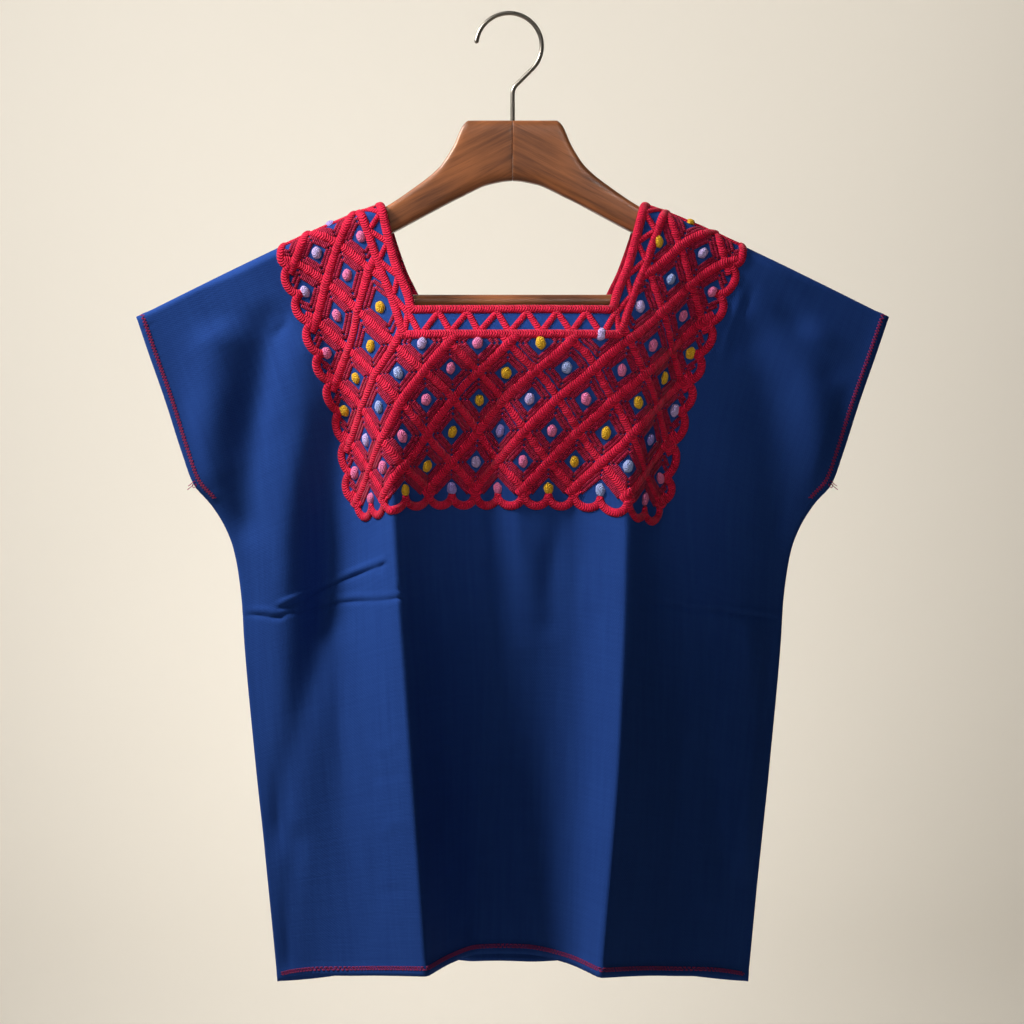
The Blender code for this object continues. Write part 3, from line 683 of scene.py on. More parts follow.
def weave_group():
    """Plain weave: the height is one of two rounded thread waves, one of each direction, that take
    turns on top. Slow noise fades the dye in streaks and clouds. A fifth of the colour follows the
    weave's height: painted highlight on the raised threads and painted shade in the troughs."""
    group, (place, light, deep, threads) = new_group("woven_cotton", ("Light", "Deep"), Threads=900.0)
    parts = put(group, "ShaderNodeSeparateXYZ", {0: place}).outputs
    wobble = calc(group, "MULTIPLY", noise(group, place, 160.0), 1.2)
    x, y = (calc(group, "ADD", calc(group, "MULTIPLY", part, threads), wobble) for part in parts[:2])
    warp, weft = (calc(group, "ABSOLUTE", wave(group, run)) for run in (x, y))
    over = calc(group, "GREATER_THAN", wave(group, calc(group, "ADD", x, y)), 0.0)
    cloth = put(group, "ShaderNodeMix", {0: over, 2: warp, 3: weft}).outputs[0]
    streaks = noise(group, stretched(group, place, (260.0, 14.0, 1.0)), detail=4.0)
    slubs = noise(group, stretched(group, place, (16.0, 320.0, 1.0)))
    clouds = noise(group, place, 9.0)
    heather = noise(group, place, 1050.0, 2.0)
    worn = total(group, (streaks, 0.26), (slubs, 0.12), (clouds, 0.20), (heather, 0.42))
    # The mask is mostly random dye tone; the weave's height adds painted highlight on the threads' tops
    # and painted shade between them.
    mask = total(group, (spread(group, worn, 0.34, 0.66), 0.8), (cloth, 0.2))
    return give(group, blend_colours(group, mask, deep, light),
                spread(group, mask, 0.0, 1.0, 0.78, 0.92), total(group, (cloth, 0.5), (slubs, 0.9)))


def stitch_group():
    """Stitches laid side by side: the height is a rounded wave across threads that slant away from
    the cord's middle line, each darker or lighter than the next, with fine fibre noise. The same wave
    also runs the colour from the thread to its shade colour: painted shade in the grooves between
    stitches and painted highlight on their tops."""
    group, (place, wool, shade, pitch, slant) = new_group(
        "laid_stitches", ("Thread", "Shade"), Pitch=0.0012, Slant=0.6)
    along, aside, _ = put(group, "ShaderNodeSeparateXYZ", {0: place}).outputs
    lean = calc(group, "MULTIPLY", calc(group, "ABSOLUTE", aside), slant)
    wander = calc(group, "SUBTRACT", noise(group, place, 120.0, 2.0), 0.5)
    wander = calc(group, "MULTIPLY", wander, 0.0016)
    count = calc(group, "ADD", calc(group, "ADD", along, lean), wander)
    count = calc(group, "DIVIDE", count, pitch)
    ridge = wave(group, calc(group, "FRACT", count))
    own = put(group, "ShaderNodeTexWhiteNoise", {"W": calc(group, "FLOOR", count)},
              noise_dimensions="1D").outputs[0]
    fibre = noise(group, place, 2600.0, 2.0)
    patch = noise(group, place, 90.0)
    # The ridge term is painted shade in the grooves and painted highlight on the stitch tops; own, fibre
    # and patch are random thread tone.
    tone = total(group, (own, 0.28), (fibre, 0.34), (patch, 0.34), (ridge, 0.36))
    mask = spread(group, tone, 0.35, 0.85)
    height = calc(group, "ADD", ridge, calc(group, "MULTIPLY", fibre, 0.3))
    return give(group, blend_colours(group, mask, shade, wool),
                spread(group, mask, 0.0, 1.0, 0.9, 0.62), height)


def grain_group():
    """Straight grain: lines from noise drawn out along the board, short dark pores, and a slow drift
    between heartwood tones."""
    group, (place, light, dark) = new_group("wood_grain", ("Light", "Dark"))
    lines = noise(group, stretched(group, place, (9.0, 150.0, 90.0)), 1.0, 5.0, 0.62)
    pores = noise(group, stretched(group, place, (46.0, 900.0, 900.0)), detail=2.0)
    drift = noise(group, place, 14.0, 2.0)
    mask = spread(group, total(group, (lines, 0.6), (drift, 0.4)), 0.38, 0.60)
    pore = spread(group, pores, 0.30, 0.42, 0.55)
    return give(group, blend_colours(group, calc(group, "MULTIPLY", mask, pore), dark, light),
                spread(group, mask, 0.0, 1.0, 0.46, 0.34),
                calc(group, "ADD", calc(group, "MULTIPLY", mask, 0.4), pore))


def effect(name):
    """A shared node group, made when it is first asked for."""
    makers = {"woven_cotton": weave_group, "laid_stitches": stitch_group, "wood_grain": grain_group}
    return bpy.data.node_groups.get(name) or makers[name]()


def new_material(name):
    """A material with nodes, its tree and its Principled shader."""
    made = bpy.data.materials.new(name)
    made.use_nodes = True
    return made, made.node_tree, made.node_tree.nodes["Principled BSDF"]


def surface(tree, shader, tone, roughness, height, bump, distance):
    """Feed the shader a colour, a roughness and, through a Bump node, a height."""
    raised = put(tree, "ShaderNodeBump", {"Strength": bump, "Distance": distance, "Height": height})
    inputs = {"Base Color": tone, "Roughness": roughness, "Normal": raised.outputs[0]}
    for label, socket in inputs.items():
        tree.links.new(socket, shader.inputs[label])


def on_thread(tree):
    """The place along and across the thread or the cloth, in metres."""
    return put(tree, "ShaderNodeUVMap", uv_map="cut").outputs[0]


def finish(name, group, values, bump, distance, on_grain=False, **shader_values):
    """A material that runs an effect group into a Principled shader and a Bump node."""
    if name in bpy.data.materials:
        return bpy.data.materials[name]
    made, tree, shader = new_material(name)
    if on_grain:
        where = put(tree, "ShaderNodeAttribute", attribute_name="grain").outputs["Vector"]
    else:
        where = on_thread(tree)
    given = {label: (*value, 1.0) if hasattr(value, "__len__") else value
             for label, value in values.items()}
    node = put(tree, "ShaderNodeGroup", {"Place": where, **given}, node_tree=effect(group))
    surface(tree, shader, *(node.outputs[label] for label in ("Color", "Roughness", "Height")),
            bump, distance)
    for label, value in shader_values.items():
        shader.inputs[label.replace("_", " ")].default_value = value
    return made


def cotton():
    """The blue woven cotton of both panels."""
    cloth = bpy.context.scene.blouse_cloth
    return finish("indigo_cotton", "woven_cotton", {"Light": cloth.light, "Deep": cloth.deep},
                  0.35, 0.0006, Specular_IOR_Level=0.08)


def thread(name, tone, pitch=0.0020, slant=0.8, depth=0.36):
    """Wool or cotton thread laid in stitches, with its shade colour at a share of its tone: partly darker
    threads at random, partly painted shade in the grooves between stitches.
    """
    shade = tuple(part * depth for part in tone)
    return finish(name, "laid_stitches",
                  {"Thread": tuple(tone), "Shade": shade, "Pitch": pitch, "Slant": slant},
                  0.75, 0.0010, Sheen_Weight=0.10, Sheen_Roughness=0.4, Specular_IOR_Level=0.15)


# ---- the embroidery on the cut --------------------------------------------------------------

def placed(across, down):
    """Where a place of the regular pattern lies on the cut.

    Beside the neck the pattern stands a little further out. The yoke's two lower corners are drawn
    up and in, with the square of the distance from its straight foot. Each stray adds a bell curve.
    """
    aside = np.interp(across, *STRAP_SHIFTS.T)
    aside = aside * np.interp(down, (NECK_DEPTH, STRAP_SHIFT_END), (1.0, 0.0))
    corner = np.clip((np.abs(across) - CORNER_START[0]) / CORNER_SIZE[0], 0, None) ** 2
    corner = corner * np.clip((down - CORNER_START[1]) / CORNER_SIZE[1], 0, 1.05)
    sag = -CORNER_LIFT * corner
    for x, y, depth, reach in STRAYS:
        sag = sag + depth * np.exp(-((across - x) ** 2 + (down - y) ** 2) / reach**2)
    return np.stack([across + aside - np.sign(across) * CORNER_PULL * corner, down + sag], axis=-1)


def band_outer(down):
    """How far the outer rope of the neck band lies from the middle line."""
    return np.interp(down, *BAND_OUTER.T)


def on_cut(m, n):
    """Measures of the cut for a place on the lattice, in half cells across and down."""
    return placed(m * HALF_CELL_WIDTH, LATTICE_TOP + n * HALF_CELL_HEIGHT)


def in_yoke(m, n):
    """True inside the yoke's edge and outside the outer rope of the neck band."""
    across, down = np.moveaxis(on_cut(m, n), -1, 0)
    beside_neck = (np.abs(across) < band_outer(down) - 1.0) & (down < BAND_FOOT - 1.0)
    top, foot = LATTICE_ROWS
    return (np.abs(m) <= LATTICE_SIDE) & (n > top) & (n < foot) & ~beside_neck


def lattice_places(columns, rows, odd):
    """The crossings of the lattice, or the middles of its cells where odd is 1, in half cells."""
    m, n = np.meshgrid(np.arange(*columns), np.arange(*rows), indexing="ij")
    wanted = (m + n) % 2 == odd
    return m[wanted].astype(float), n[wanted].astype(float)


def inside_run(inside, t, past, count):
    """The stretch of each line from its first to its last place inside, as even shares of it."""
    first = t[inside.argmax(axis=1)]
    last = t[len(t) - 1 - inside[:, ::-1].argmax(axis=1)]
    return first[:, None] + (last - first)[:, None] * np.linspace(-past, 1 + past, count)


def mirrored(paths):
    """Lines of the cut after their mirror images."""
    return np.concatenate([paths * (-1, 1), paths])


def lattice_ropes(direction):
    """Every rope stitch between two crossings that leans one way, as (rope, point, 2) of the cut."""
    m, n = lattice_places((-8, 9), (-1, 10), 0)
    t = np.linspace(0.0, 1.0, 41)
    inside = in_yoke(m[:, None] + direction * t, n[:, None] + t)
    keep = inside.sum(axis=1) > 5
    share = inside_run(inside[keep], t, 0.01, 26)
    return on_cut(m[keep, None] + direction * share, n[keep, None] + share), share


def build_lattice(side, name, node, settings):
    """The crossing ropes. Those that rise to the right ride up over each crossing, the others dip.
    One more rope runs along the shoulder."""
    wide = settings.rope_width / MM
    tall = settings.rope_height / MM
    over_reach, sink = 5.0, 0.2
    parts = []
    for direction, width, over in ((-1.0, wide, 0.9), (1.0, wide * 0.9, -0.35)):
        paths, share = lattice_ropes(direction)
        from_crossing = np.minimum(np.abs(share), np.abs(1 - share)) * ROPE_LENGTH
        lift = over * np.exp(-((from_crossing / over_reach) ** 2)) - sink
        x, y = paths[..., 0], paths[..., 1]
        uneven = 1 + (np.sin(x * 0.61 + y * 0.37) * 0.06 + np.sin(x * 0.23 - y * 0.83) * 0.05)
        parts.append(sewn(side, paths, width * uneven, tall * uneven, lift=lift))
    along = np.linspace(band_outer(0.0) - 14.0, YOKE_HALF_WIDTH + 1.0, 50)
    shoulder = np.stack([along, 3.1 + 0.3 * np.sin(along / 3.0)], axis=-1)[None]
    parts.append(sewn(side, mirrored(shoulder), 5.4, 1.9, lift=-0.3))
    rope = thread("red_wool_rope", settings.red)
    add_piece(name, joined(parts), [rope], node)


def build_bands(side, name, settings):
    """The satin bands: two smaller diamonds in each cell, their sides cut short at the yoke's edge.

    Those of the lowest cells have no lower sides, and the upper ones run on down to the loops.
    """
    m, n = lattice_places((-7, 8), (0, 11), 1)
    lowest = 9
    t = np.linspace(-0.4, 1.4, 61)
    past = (t < 0) | (t > 1)
    corners = ((-1, 0), (0, -1), (1, 0), (0, 1), (-1, 0))
    paths = []
    for size in BAND_SIZES:
        for (m0, n0), (m1, n1) in zip(corners, corners[1:]):
            across = m[:, None] + size * (m0 + (m1 - m0) * t)
            down = n[:, None] + size * (n0 + (n1 - n0) * t)
            inside = in_yoke(across, down + 0.06) & in_yoke(across, down - 0.06)
            inside &= ~past | (n[:, None] == lowest) & (down > lowest)
            keep = (inside.sum(axis=1) > 8) & ((n < lowest) | (n0 + n1 < 0))
            share = inside_run(inside[keep], t, 0.0, 9)
            paths.append(on_cut(m[keep, None] + size * (m0 + (m1 - m0) * share),
                                n[keep, None] + size * (n0 + (n1 - n0) * share)))
    paths = np.concatenate(paths)
    uneven = 1 + 0.1 * np.sin(paths[..., 0] * 0.5 + paths[..., 1] * 0.71)
    shape = sewn(side, paths, settings.band_width / MM * uneven, uneven, sides=8)
    satin = thread("crimson_satin", settings.crimson, pitch=0.0015, slant=0.2, depth=0.34)
    add_piece(name, shape, [satin])


def build_knots(side, name, settings):
    """The knots: small domed tufts, wider at the foot, each with its own size, lean and colour."""
    initials = [label[0] for label in KNOT_COLOURS]
    places, colours = [], []
    for n, columns, letters in KNOT_ROWS:
        places += [(m, n) for m in columns]
        colours += [initials.index(letter) for letter in letters]
    places = np.array(places, float)
    if side.back:
        places[:, 0] *= -1
    spots = on_cut(places[:, 0], places[:, 1])
    centre, normal = side.at(spots[:, 0], spots[:, 1])
    downward, _ = side.at(spots[:, 0], spots[:, 1] + 1.0)
    line = unit(downward - centre)
    aside = np.cross(normal, line)
    own = np.random.default_rng(7).random((len(places), 4))
    rings, sides = 8, 14
    height, sink, girth = 3.3, 0.3, 24.0
    rise = np.linspace(0.0, 1.0, rings)
    turns = turns_of(sides)
    dome = np.sqrt(np.clip(1 - (rise * 0.985) ** 2.4, 0, 1))[:, None]
    wide = (3.6 + own[:, 0] * 0.7)[:, None, None]
    long = (4.6 + own[:, 1] * 0.9)[:, None, None]
    furrow = 1 + 0.05 * np.sin(turns * 5 + own[:, 2:3] * 6)[:, None, :]
    lean = (own[:, 3] - 0.5)[:, None, None]
    x = wide * dome * np.cos(turns) * furrow
    y = long * dome * np.sin(turns) * furrow + x * lean * 0.5
    z = np.broadcast_to(height * rise[:, None] - sink, x.shape)
    points = (centre[:, None, None] + x[..., None] * aside[:, None, None]
              + y[..., None] * line[:, None, None] + z[..., None] * normal[:, None, None])
    along = np.broadcast_to(rise * 4.0, (len(places), rings))
    shape = tubes(points, along, np.linspace(0, girth, sides + 1))
    chosen = np.concatenate([np.repeat(colours, (rings - 1) * sides), np.tile(colours, 2)])
    finishes = [thread(f"{label}_knots", getattr(settings, label), 0.0014, 0.4, 0.70)
                for label in KNOT_COLOURS]
    add_piece(name, shape, finishes, chosen=chosen)


def build_scallops(side, name, settings):
    """The loops of the edge, one to each half cell: from each notch to the next along half an
    ellipse of the scallop's depth. The notches beside knots lie further in than the others."""
    t = 0.5 - 0.51 * np.cos(np.linspace(0, math.pi, 30))
    depth = settings.scallop_depth / MM
    bow = np.sqrt(np.clip(1 - (2 * t - 1) ** 2, 0, 1))

    def loops(first, last):
        at = np.arange(first, last)[:, None]
        inner = np.where((at % 2 == 0) ^ (t > 0.5), -0.8, -3.2)
        return at + t, inner + (depth - inner) * bow

    foot, out = loops(-7, 7)
    lower = np.interp(foot * (-1 if side.back else 1), (1.5, 4.0, 7.0), (0.0, 1.5, 4.0))
    bottom = placed(foot * HALF_CELL_WIDTH, YOKE_BOTTOM - 0.6 + out + lower)
    rise, out = loops(0, 9)
    beside = YOKE_HALF_WIDTH + (4.2 + out * 0.9) * np.clip(0.25 + rise * 0.75, 0, 1)
    down = LATTICE_TOP + rise * HALF_CELL_HEIGHT
    paths = np.concatenate([bottom, placed(-beside, down), placed(beside, down)])
    shape = sewn(side, paths, 6.9, 2.3, lift=-0.1)
    add_piece(name, shape, [thread("red_wool_rope", settings.red)])


def neck_route(reach):
    """A line round the neck at one distance from its cut edge, with its two corners rounded."""
    x, y = NECK_HALF_WIDTH + reach - NECK_ROUNDING, NECK_DEPTH + reach - NECK_ROUNDING
    down, over = np.arange(0.0, y), np.arange(-x, x)[1:]
    bend = np.linspace(0, math.pi / 2, 8)
    flank = np.concatenate([
        np.stack([np.full(len(down), -x - NECK_ROUNDING), down], axis=-1),
        np.stack([-x - NECK_ROUNDING * np.cos(bend), y + NECK_ROUNDING * np.sin(bend)], axis=-1)])
    foot = np.stack([over, np.full(len(over), y + NECK_ROUNDING)], axis=-1)
    return np.concatenate([flank, foot, flank[::-1] * (-1, 1)])[None]


def build_neck_band(side, name, node, settings):
    """Two ropes round the neck with a zig-zag between them, and a binding on the inner face."""
    beyond = 1.5
    down = np.linspace(0.0, BAND_FOOT + beyond, 100)
    flank = np.stack([band_outer(down), down], axis=-1)[None]
    over = np.linspace(-BAND_CORNER - beyond, BAND_CORNER + beyond, 150)
    foot = np.stack([over, np.full(len(over), BAND_FOOT)], axis=-1)[None]
    t = np.linspace(-0.03, 1.03, 9)[:, None]

    def strokes(starts, ends):
        return starts[:, None] + (ends - starts)[:, None] * t

    count = np.arange(8)
    steep = np.where(count % 2 == 1, NECK_HALF_WIDTH + ZIGZAG_NEAR,
                     band_outer(count * ZIGZAG_DOWN) - 1.2)
    steep = np.stack([steep, count * ZIGZAG_DOWN], axis=-1)
    count = np.arange(-6, 7)
    level = NECK_DEPTH + np.where(count % 2 == 1, ZIGZAG_NEAR, ZIGZAG_FAR)
    level = np.stack([count * ZIGZAG_OVER, level], axis=-1)
    corner = np.array([(NECK_HALF_WIDTH + ZIGZAG_NEAR, NECK_DEPTH + ZIGZAG_NEAR)] * 2)
    spurs = strokes(corner, np.array([(BAND_CORNER, BAND_FOOT), (72.0, NECK_DEPTH + ZIGZAG_FAR)]))
    level = np.concatenate([strokes(level[:-1], level[1:]), mirrored(spurs)])
    parts = [sewn(side, neck_route(2.9), 7.4, 2.6),
             sewn(side, mirrored(flank), 7.0, 2.5),
             sewn(side, foot, 7.4, 2.4),
             sewn(side, neck_route(2.6), 6.0, 0.8, lift=-side.thickness - 0.1, flat=1.3),
             sewn(side, mirrored(strokes(steep[:-1], steep[1:])), 4.8, 1.8, sides=8),
             sewn(side, level, 5.4, 1.7, sides=8)]
    add_piece(name, joined(parts), [thread("red_wool_rope", settings.red)], node)


def zigzag(turns):
    """A triangular wave between -1 and 1."""
    return np.arcsin(np.sin(turns)) * 2 / math.pi


def loose_ends(side):
    """Three bowed thread ends that hang out where each sleeve hem ends."""
    t = np.linspace(0.0, 1.0, 14)
    turns = turns_of(6)
    ahead = np.array((0.0, 1.0, 0.0))
    parts = []
    for way in (-1, 1):
        start, _ = side.at(np.array([way * 290.0]), np.array([147.0]))
        for reach, curl, drop in ((6.0, 2.4, 1.0), (4.5, -2.0, -1.6), (7.0, 1.2, -3.0)):
            bow = curl * np.sin(math.pi * 1.4 * t)
            route = start + np.stack([way * (reach * t - 0.4 * bow), -0.3 - t, bow + drop * t], axis=-1)
            up = np.cross(unit(np.gradient(route, axis=0)), ahead)[:, None]
            rings = up * np.cos(turns)[:, None] + ahead * np.sin(turns)[:, None]
            rings = (route[:, None] + 0.3 * rings)[None, :, ::-1]
            parts.append(tubes(rings, (t * reach)[None], np.linspace(0, 2.0, 7)))
    return parts


def build_stitching(side, name, settings):
    """The sewn lines: a zig-zag along each sleeve hem, two rows of dashes along the foot's hem with
    a zig-zag between them, and the loose thread ends of the front."""
    down = np.arange(1.0, SLEEVE_HEM_END - 1.0, 0.3)
    sleeve = columns_of(OUTLINE, down)[0] - 5.0 - 1.6 * zigzag(down * 2.5)
    sleeve = np.stack([sleeve, down], axis=-1)[None]
    across = np.arange(-FOOT_LINE_HALF, FOOT_LINE_HALF + 0.5, 0.4)
    foot = np.stack([across, FOOT_LINE + zigzag(across * 2.2)], axis=-1)[None]
    starts = np.arange(-FOOT_LINE_HALF, FOOT_LINE_HALF - 2.0, 3.4)[:, None]
    t = np.linspace(0.0, 1.0, 5)
    dashes = np.concatenate([
        np.stack(np.broadcast_arrays(starts + shift + 2.3 * t, FOOT_LINE + row), axis=-1)
        for row, shift in ((-1.3, 0.0), (1.2, 1.5))])
    on_hem = HEM_BUILD + 0.12
    parts = [sewn(side, mirrored(sleeve), 0.85, 0.4, sides=6, lift=on_hem),
             sewn(side, foot, 0.5, 0.3, sides=6, lift=on_hem),
             sewn(side, dashes, 0.9, 0.5, sides=6, lift=on_hem + 0.5 * np.sin(math.pi * t) - 0.3)]
    if not side.back:
        parts += loose_ends(side)
    sewing = thread("crimson_sewing_thread", settings.sewing, 0.0006, depth=0.6)
    add_piece(name, joined(parts), [sewing])


# ---- the cloth ------------------------------------------------------------------------------

def build_panel(side, name, node):
    """One panel of the cut: the outer face at the cloth's thickness, the inner face, and a rim."""
    down = np.concatenate([np.linspace(a, b, n + 1)[1:] for a, b, n in PANEL_ROWS])
    down = np.concatenate([[0.0], down])
    flat_half = columns_of(OUTLINE, down)[0][:, None]
    neck = np.linspace(-NECK_HALF_WIDTH, NECK_HALF_WIDTH, PANEL_CELLS_NECK + 1)
    yoke = np.linspace(NECK_HALF_WIDTH, YOKE_HALF_WIDTH, PANEL_CELLS_YOKE + 1)[1:]
    sleeve = np.linspace(0, 1, PANEL_CELLS_SLEEVE + 1)[1:]
    sleeve = YOKE_HALF_WIDTH + (flat_half - YOKE_HALF_WIDTH) * sleeve
    fixed = np.concatenate([-yoke[::-1], neck, yoke])
    fixed = np.broadcast_to(fixed, (len(down), len(fixed)))
    across = np.concatenate([-sleeve[:, ::-1], fixed, sleeve], axis=1)
    level = np.broadcast_to(down[:, None], across.shape)
    inner = drape(level, across, side.back)
    from_edge = np.where(level < SLEEVE_HEM_END, flat_half - np.abs(across), HEM_WIDTH * 2)
    from_edge = np.minimum(from_edge, BODY_LENGTH - level)
    along_hem = np.where(from_edge < BODY_LENGTH - level, level, across)
    doubled = np.clip((HEM_WIDTH - from_edge) / HEM_EDGE + 0.5, 0, 1)
    doubled = doubled * (HEM_BUILD + HEM_PUCKER * np.sin(along_hem * 0.9))
    outer = inner + outward(inner, side.back) * (side.thickness + doubled)[..., None]
    index = np.arange(across.size).reshape(across.shape)
    quads = np.stack([index[:-1, :-1], index[1:, :-1], index[1:, 1:], index[:-1, 1:]], axis=-1)
    middle = (across[0, :-1] + across[0, 1:]) / 2
    below_neck = (down[:-1, None] + down[1:, None]) / 2 > NECK_DEPTH
    quads = quads[below_neck | (np.abs(middle) > NECK_HALF_WIDTH)]
    if side.back:
        quads = quads[:, ::-1]
    edges = np.stack([quads, np.roll(quads, -1, axis=1)], axis=-1).reshape(-1, 2)
    code = edges[:, 0] * across.size + edges[:, 1]
    rim = edges[~np.isin(code, edges[:, 1] * across.size + edges[:, 0])]
    rims = np.concatenate([rim[:, ::-1], rim + across.size], axis=-1)
    faces = np.concatenate([quads, quads[:, ::-1] + across.size, rims])
    used, loops = np.unique(faces, return_inverse=True)
    points = np.concatenate([outer.reshape(-1, 3), inner.reshape(-1, 3)])[used]
    cut = np.stack([across, level], axis=-1).reshape(-1, 2)
    uv = np.concatenate([cut, cut])[faces.ravel()] * MM
    shape = (points, loops.ravel(), np.full(len(faces), 4), uv)
    return add_piece(name, shape, [cotton()], node)


# ---- the hanger -----------------------------------------------------------------------------

def build_arm(name, way, node, wood):
    """Half of the hanger: rounded rectangular rings along the arm, its height from the section
    table. The rings draw in a little at the mitre and more at the tip."""
    tip = ARM_SECTIONS[-1, 0]
    stations = np.concatenate([[0.03, 0.35, 0.8], np.arange(4.0, 34.0, 3.0), np.arange(34.0, 60.0, 1.5),
                               np.arange(60.0, 186.0, 4.0), np.arange(186.0, tip, 1.0), [tip]])
    top, underside = columns_of(ARM_SECTIONS, stations)
    sides, squareness = 40, 0.42
    turns = turns_of(sides)
    across, share = (np.sign(run) * np.abs(run) ** squareness for run in (np.cos(turns), np.sin(turns)))
    ease = np.ones(len(stations))
    ease[-4:] = (0.95, 0.85, 0.7, 0.45)
    ease[:2] = (0.955, 0.985)
    x = np.broadcast_to(way * stations[:, None], (len(stations), sides))
    y = across * ARM_THICKNESS / 2 * ease[:, None]
    half_height = (top - underside) / 2 * np.minimum(ease + 0.03, 1)
    z = ((top + underside) / 2)[:, None] + share * half_height[:, None]
    rings = np.stack([x, y, z], axis=-1)[None]
    if way > 0:
        rings = rings[:, :, ::-1]
    shape = tubes(rings, stations[None], np.linspace(0, 110.0, sides + 1))
    x, y, z = shape[0].T
    slope = way * ARM_SLOPE
    grain = np.stack([x * math.cos(slope) - z * math.sin(slope),
                      x * math.sin(slope) + z * math.cos(slope) + way * 40.0, y], axis=-1)
    add_piece(name, shape, [wood], node, grain=grain)


def build_bar(name, node, wood):
    """The bar: a circle carried along a straight line, its ends a little rounded."""
    near_end, drawn_in = np.array((0.0, 0.3, 0.9)), np.array((0.9, 0.4, 0.1))
    stations = np.concatenate([near_end, np.linspace(2.0, 2 * BAR_HALF_LENGTH - 2.0, 60),
                               2 * BAR_HALF_LENGTH - near_end[::-1]])[:, None]
    radius = np.full(stations.shape, BAR_RADIUS)
    radius[:3, 0] -= drawn_in
    radius[-3:, 0] -= drawn_in[::-1]
    sides = 32
    turns = turns_of(sides)
    rings = np.stack(np.broadcast_arrays(stations - BAR_HALF_LENGTH, radius * np.cos(turns),
                                         BAR_HEIGHT + radius * np.sin(turns)), axis=-1)
    shape = tubes(rings[None, :, ::-1], stations.T, np.linspace(0, 35.0, sides + 1))
    add_piece(name, shape, [wood], node, grain=shape[0][:, (0, 2, 1)])


def arc(centre, radius, start, end, count):
    """Points along an arc in the hanger's plane, from one angle to another in degrees."""
    angles = np.radians(np.linspace(start, end, count))
    return np.stack([centre[0] + radius * np.cos(angles), centre[1] + radius * np.sin(angles)], -1)


def build_hook(name, node, metal):
    """The hook: a circle of the wire's radius carried along loop, throat, bend and stem in one plane.

    The loop is an arc. The throat leaves it straight, a second arc turns it upright, and the stem
    goes down into the wood. The tip is rounded off as half a ball.
    """
    loop = arc(HOOK_CENTRE, HOOK_RADIUS, HOOK_TIP_ANGLE, HOOK_THROAT_ANGLE, 90)
    slant = math.radians(90 + HOOK_THROAT_ANGLE)
    bend_start = HOOK_BEND_RADIUS * (1 - math.sin(slant))
    bend_top = loop[-1, 1] - (loop[-1, 0] - bend_start) * math.tan(slant)
    centre = (HOOK_BEND_RADIUS, bend_top - HOOK_BEND_RADIUS * math.cos(slant))
    bend = arc(centre, HOOK_BEND_RADIUS, 180 + HOOK_THROAT_ANGLE, 180, 16)
    route = np.concatenate([loop, bend, [(0.0, STEM_FOOT)]])
    run = np.concatenate([[0.0], np.cumsum(np.linalg.norm(np.diff(route, axis=0), axis=1))])
    at = np.concatenate([(0.02, 0.2, 0.6, 1.2, 1.8), np.arange(2.6, run[-1], 0.9), [run[-1]]])
    route = np.stack([np.interp(at, run, column) for column in route.T], axis=-1)
    line = unit(np.gradient(route, axis=0))
    short = np.clip(1 - at / HOOK_WIRE_RADIUS, 0, 1)
    radius = (HOOK_WIRE_RADIUS * np.sqrt(1 - short**2))[:, None]
    sides = 20
    turns = turns_of(sides)
    out = radius * np.cos(turns)
    rings = np.stack([route[:, :1] + out * line[:, 1:], radius * np.sin(turns),
                      route[:, 1:] - out * line[:, :1]], axis=-1)
    shape = tubes(rings[None], at[None], np.linspace(0, 11.0, sides + 1))
    add_piece(name, shape, [metal], node)


def nickel(tone):
    """Drawn wire: metal with fine lengthwise scratches and duller patches."""
    made, tree, shader = new_material("drawn_nickel")
    where = on_thread(tree)
    scratches = noise(tree, stretched(tree, where, (40.0, 1500.0, 1.0)))
    patches = noise(tree, where, 120.0)
    dark = tuple(part * 0.55 for part in tone)
    surface(tree, shader, blend_colours(tree, patches, (*dark, 1.0), (*tone, 1.0)),
            spread(tree, patches, 0.3, 0.7, 0.42, 0.24), scratches, 0.2, 0.0002)
    shader.inputs["Metallic"].default_value = 1.0
    return made


# ---- operators ------------------------------------------------------------------------------

@cache
def hung_side(back, thickness):
    """A hung panel, worked out once."""
    return Side(back, thickness)


def both_sides():
    """The two hung panels, each with its label."""
    thickness = bpy.context.scene.blouse_cloth.thickness / MM
    return ((hung_side(False, thickness), "front"), (hung_side(True, thickness), "back"))


class BLOUSE_OT_embroider(Operator):
    """Lay out and sew the embroidery, the neck bands and the hem stitches on both sides"""
    bl_idname = "blouse.embroider"
    bl_label = "Embroider"

    def execute(self, context):
        settings = context.scene.blouse_embroidery
        for side, label in both_sides():
            build_lattice(side, f"{label}_lattice", f"{label}_yoke", settings)
            build_bands(side, f"{label}_satin_bands", settings)
            build_knots(side, f"{label}_knots", settings)
            build_scallops(side, f"{label}_scallops", settings)
            build_neck_band(side, f"{label}_neck_band", f"{label}_neck_edging", settings)
            build_stitching(side, f"{label}_stitching", settings)
        return {"FINISHED"}


class BLOUSE_OT_cloth(Operator):
    """Hang the two cotton panels"""
    bl_idname = "blouse.cloth"
    bl_label = "Cloth panels"

    def execute(self, context):
        for side, label in both_sides():
            panel = build_panel(side, f"{label}_cloth", f"{label}_panel")
        return {"FINISHED"}


class BLOUSE_OT_hanger(Operator):
    """Make the wooden hanger with its bar and wire hook"""
    bl_idname = "blouse.hanger"
    bl_label = "Hanger"

    def execute(self, context):
        settings = context.scene.blouse_hanger
        wood = finish("lacquered_walnut", "wood_grain",
                      {"Light": settings.wood_light, "Dark": settings.wood_dark}, 0.18, 0.0004,
                      on_grain=True, Coat_Weight=0.25, Coat_Roughness=0.25)
        build_arm("hanger_left_arm", -1, "hanger_arm_left", wood)
        build_arm("hanger_right_arm", 1, "hanger_arm_right", wood)
        build_bar("hanger_lower_bar", "hanger_bar", wood)
        build_hook("hanger_wire_hook", "hanger_hook", nickel(tuple(settings.metal)))
        return {"FINISHED"}


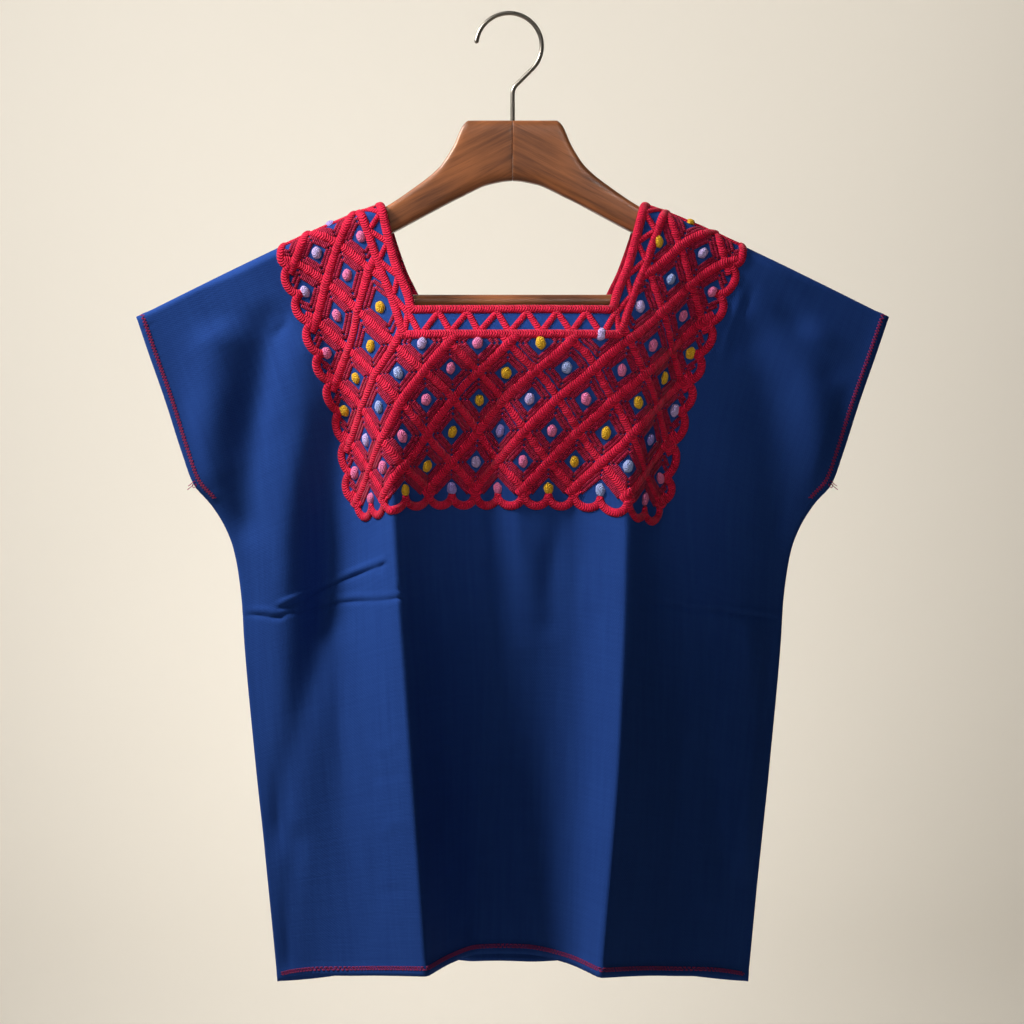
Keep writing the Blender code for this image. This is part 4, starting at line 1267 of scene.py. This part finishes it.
class BLOUSE_OT_stage(Operator):
    """Set the pale floor and backdrop, the soft lights and the camera"""
    bl_idname = "blouse.stage"
    bl_label = "Stage"

    def execute(self, context):
        settings = context.scene.blouse_stage
        build_backdrop(-settings.floor_drop, settings.wall)
        build_lights()
        build_camera(settings.camera_distance)
        return {"FINISHED"}


def build_backdrop(floor, tone):
    """A floor that turns up into a backdrop along a quarter circle, seen from its front only."""
    pale, tree, shader = new_material("pale_stage")
    shader.inputs["Base Color"].default_value = (*tone, 1.0)
    shader.inputs["Roughness"].default_value = 0.95
    clear = put(tree, "ShaderNodeBsdfTransparent")
    facing = put(tree, "ShaderNodeNewGeometry").outputs["Backfacing"]
    mixed = put(tree, "ShaderNodeMixShader", {0: facing, 1: shader.outputs[0], 2: clear.outputs[0]})
    tree.links.new(mixed.outputs[0], tree.nodes["Material Output"].inputs["Surface"])
    bend = np.linspace(0, math.pi / 2, 24)
    y = WALL_AHEAD - COVE_RADIUS + COVE_RADIUS * np.sin(bend)
    z = floor + COVE_RADIUS * (1 - np.cos(bend))
    profile = np.stack([[-STAGE_REACH, *y, WALL_AHEAD], [floor, *z, floor + STAGE_REACH]], axis=-1)
    points = np.concatenate([np.insert(profile, 0, x, axis=1) for x in (-STAGE_REACH, STAGE_REACH)])
    first = np.arange(len(profile) - 1)
    quads = np.stack([first, first + len(profile), first + len(profile) + 1, first + 1], axis=-1)
    mesh = bpy.data.meshes.new("stage_sweep")
    mesh.from_pydata(points.tolist(), [], quads.tolist())
    mesh.materials.append(pale)
    mesh.shade_smooth()
    link_new("stage_sweep", mesh)


def build_lights():
    """Soft round lamps, and the faint light of the room."""
    scene = bpy.context.scene
    scene.view_settings.view_transform = "Standard"
    for name, place, aim, size, power, beam, tint in LIGHTS:
        data = bpy.data.lights.new(name, "AREA")
        data.shape = "DISK"
        data.size = size
        data.energy = power
        data.color = tint
        data.spread = math.radians(beam)
        light = link_new(name, data)
        light.location = place
        direction = Vector(aim) - light.location
        light.rotation_euler = direction.to_track_quat("-Z", "Y").to_euler()
    scene.world = bpy.data.worlds.new("pale_room")
    scene.world.use_nodes = True
    background = scene.world.node_tree.nodes["Background"]
    background.inputs["Color"].default_value = ROOM_COLOUR
    background.inputs["Strength"].default_value = ROOM_STRENGTH


def build_camera(distance):
    """A long lens, level and square to the front."""
    data = bpy.data.cameras.new("camera")
    data.lens = CAMERA_LENS
    data.sensor_width = 36.0
    camera = link_new("camera", data)
    camera.location = (CAMERA_ACROSS, -distance, CAMERA_HEIGHT)
    camera.rotation_euler = (math.pi / 2, 0.0, 0.0)
    bpy.context.scene.camera = camera


class BLOUSE_PT_parts(Panel):
    bl_idname = "BLOUSE_PT_parts"
    bl_label = "Blouse"
    bl_space_type = "VIEW_3D"
    bl_region_type = "UI"
    bl_category = "Blouse"

    def draw(self, context):
        operators = ("blouse.cloth", "blouse.embroider", "blouse.hanger", "blouse.stage")
        for (group, _), operator in zip(GROUPS, operators):
            box = self.layout.box()
            settings = getattr(context.scene, group)
            for name in settings.__annotations__:
                box.prop(settings, name)
            box.operator(operator)


CLASSES = (ClothSettings, EmbroiderySettings, HangerSettings, StageSettings, BLOUSE_OT_embroider,
           BLOUSE_OT_cloth, BLOUSE_OT_hanger, BLOUSE_OT_stage, BLOUSE_PT_parts)
GROUPS = (("blouse_cloth", ClothSettings), ("blouse_embroidery", EmbroiderySettings),
          ("blouse_hanger", HangerSettings), ("blouse_stage", StageSettings))


def register():
    for kind in CLASSES:
        bpy.utils.register_class(kind)
    for name, kind in GROUPS:
        setattr(bpy.types.Scene, name, PointerProperty(type=kind))


def unregister():
    for name, _ in GROUPS:
        delattr(bpy.types.Scene, name)
    for kind in reversed(CLASSES):
        bpy.utils.unregister_class(kind)


def main():
    register()
    bpy.ops.blouse.hanger()
    bpy.ops.blouse.embroider()
    bpy.ops.blouse.cloth()
    bpy.ops.blouse.stage()


if __name__ == "__main__":
    main()
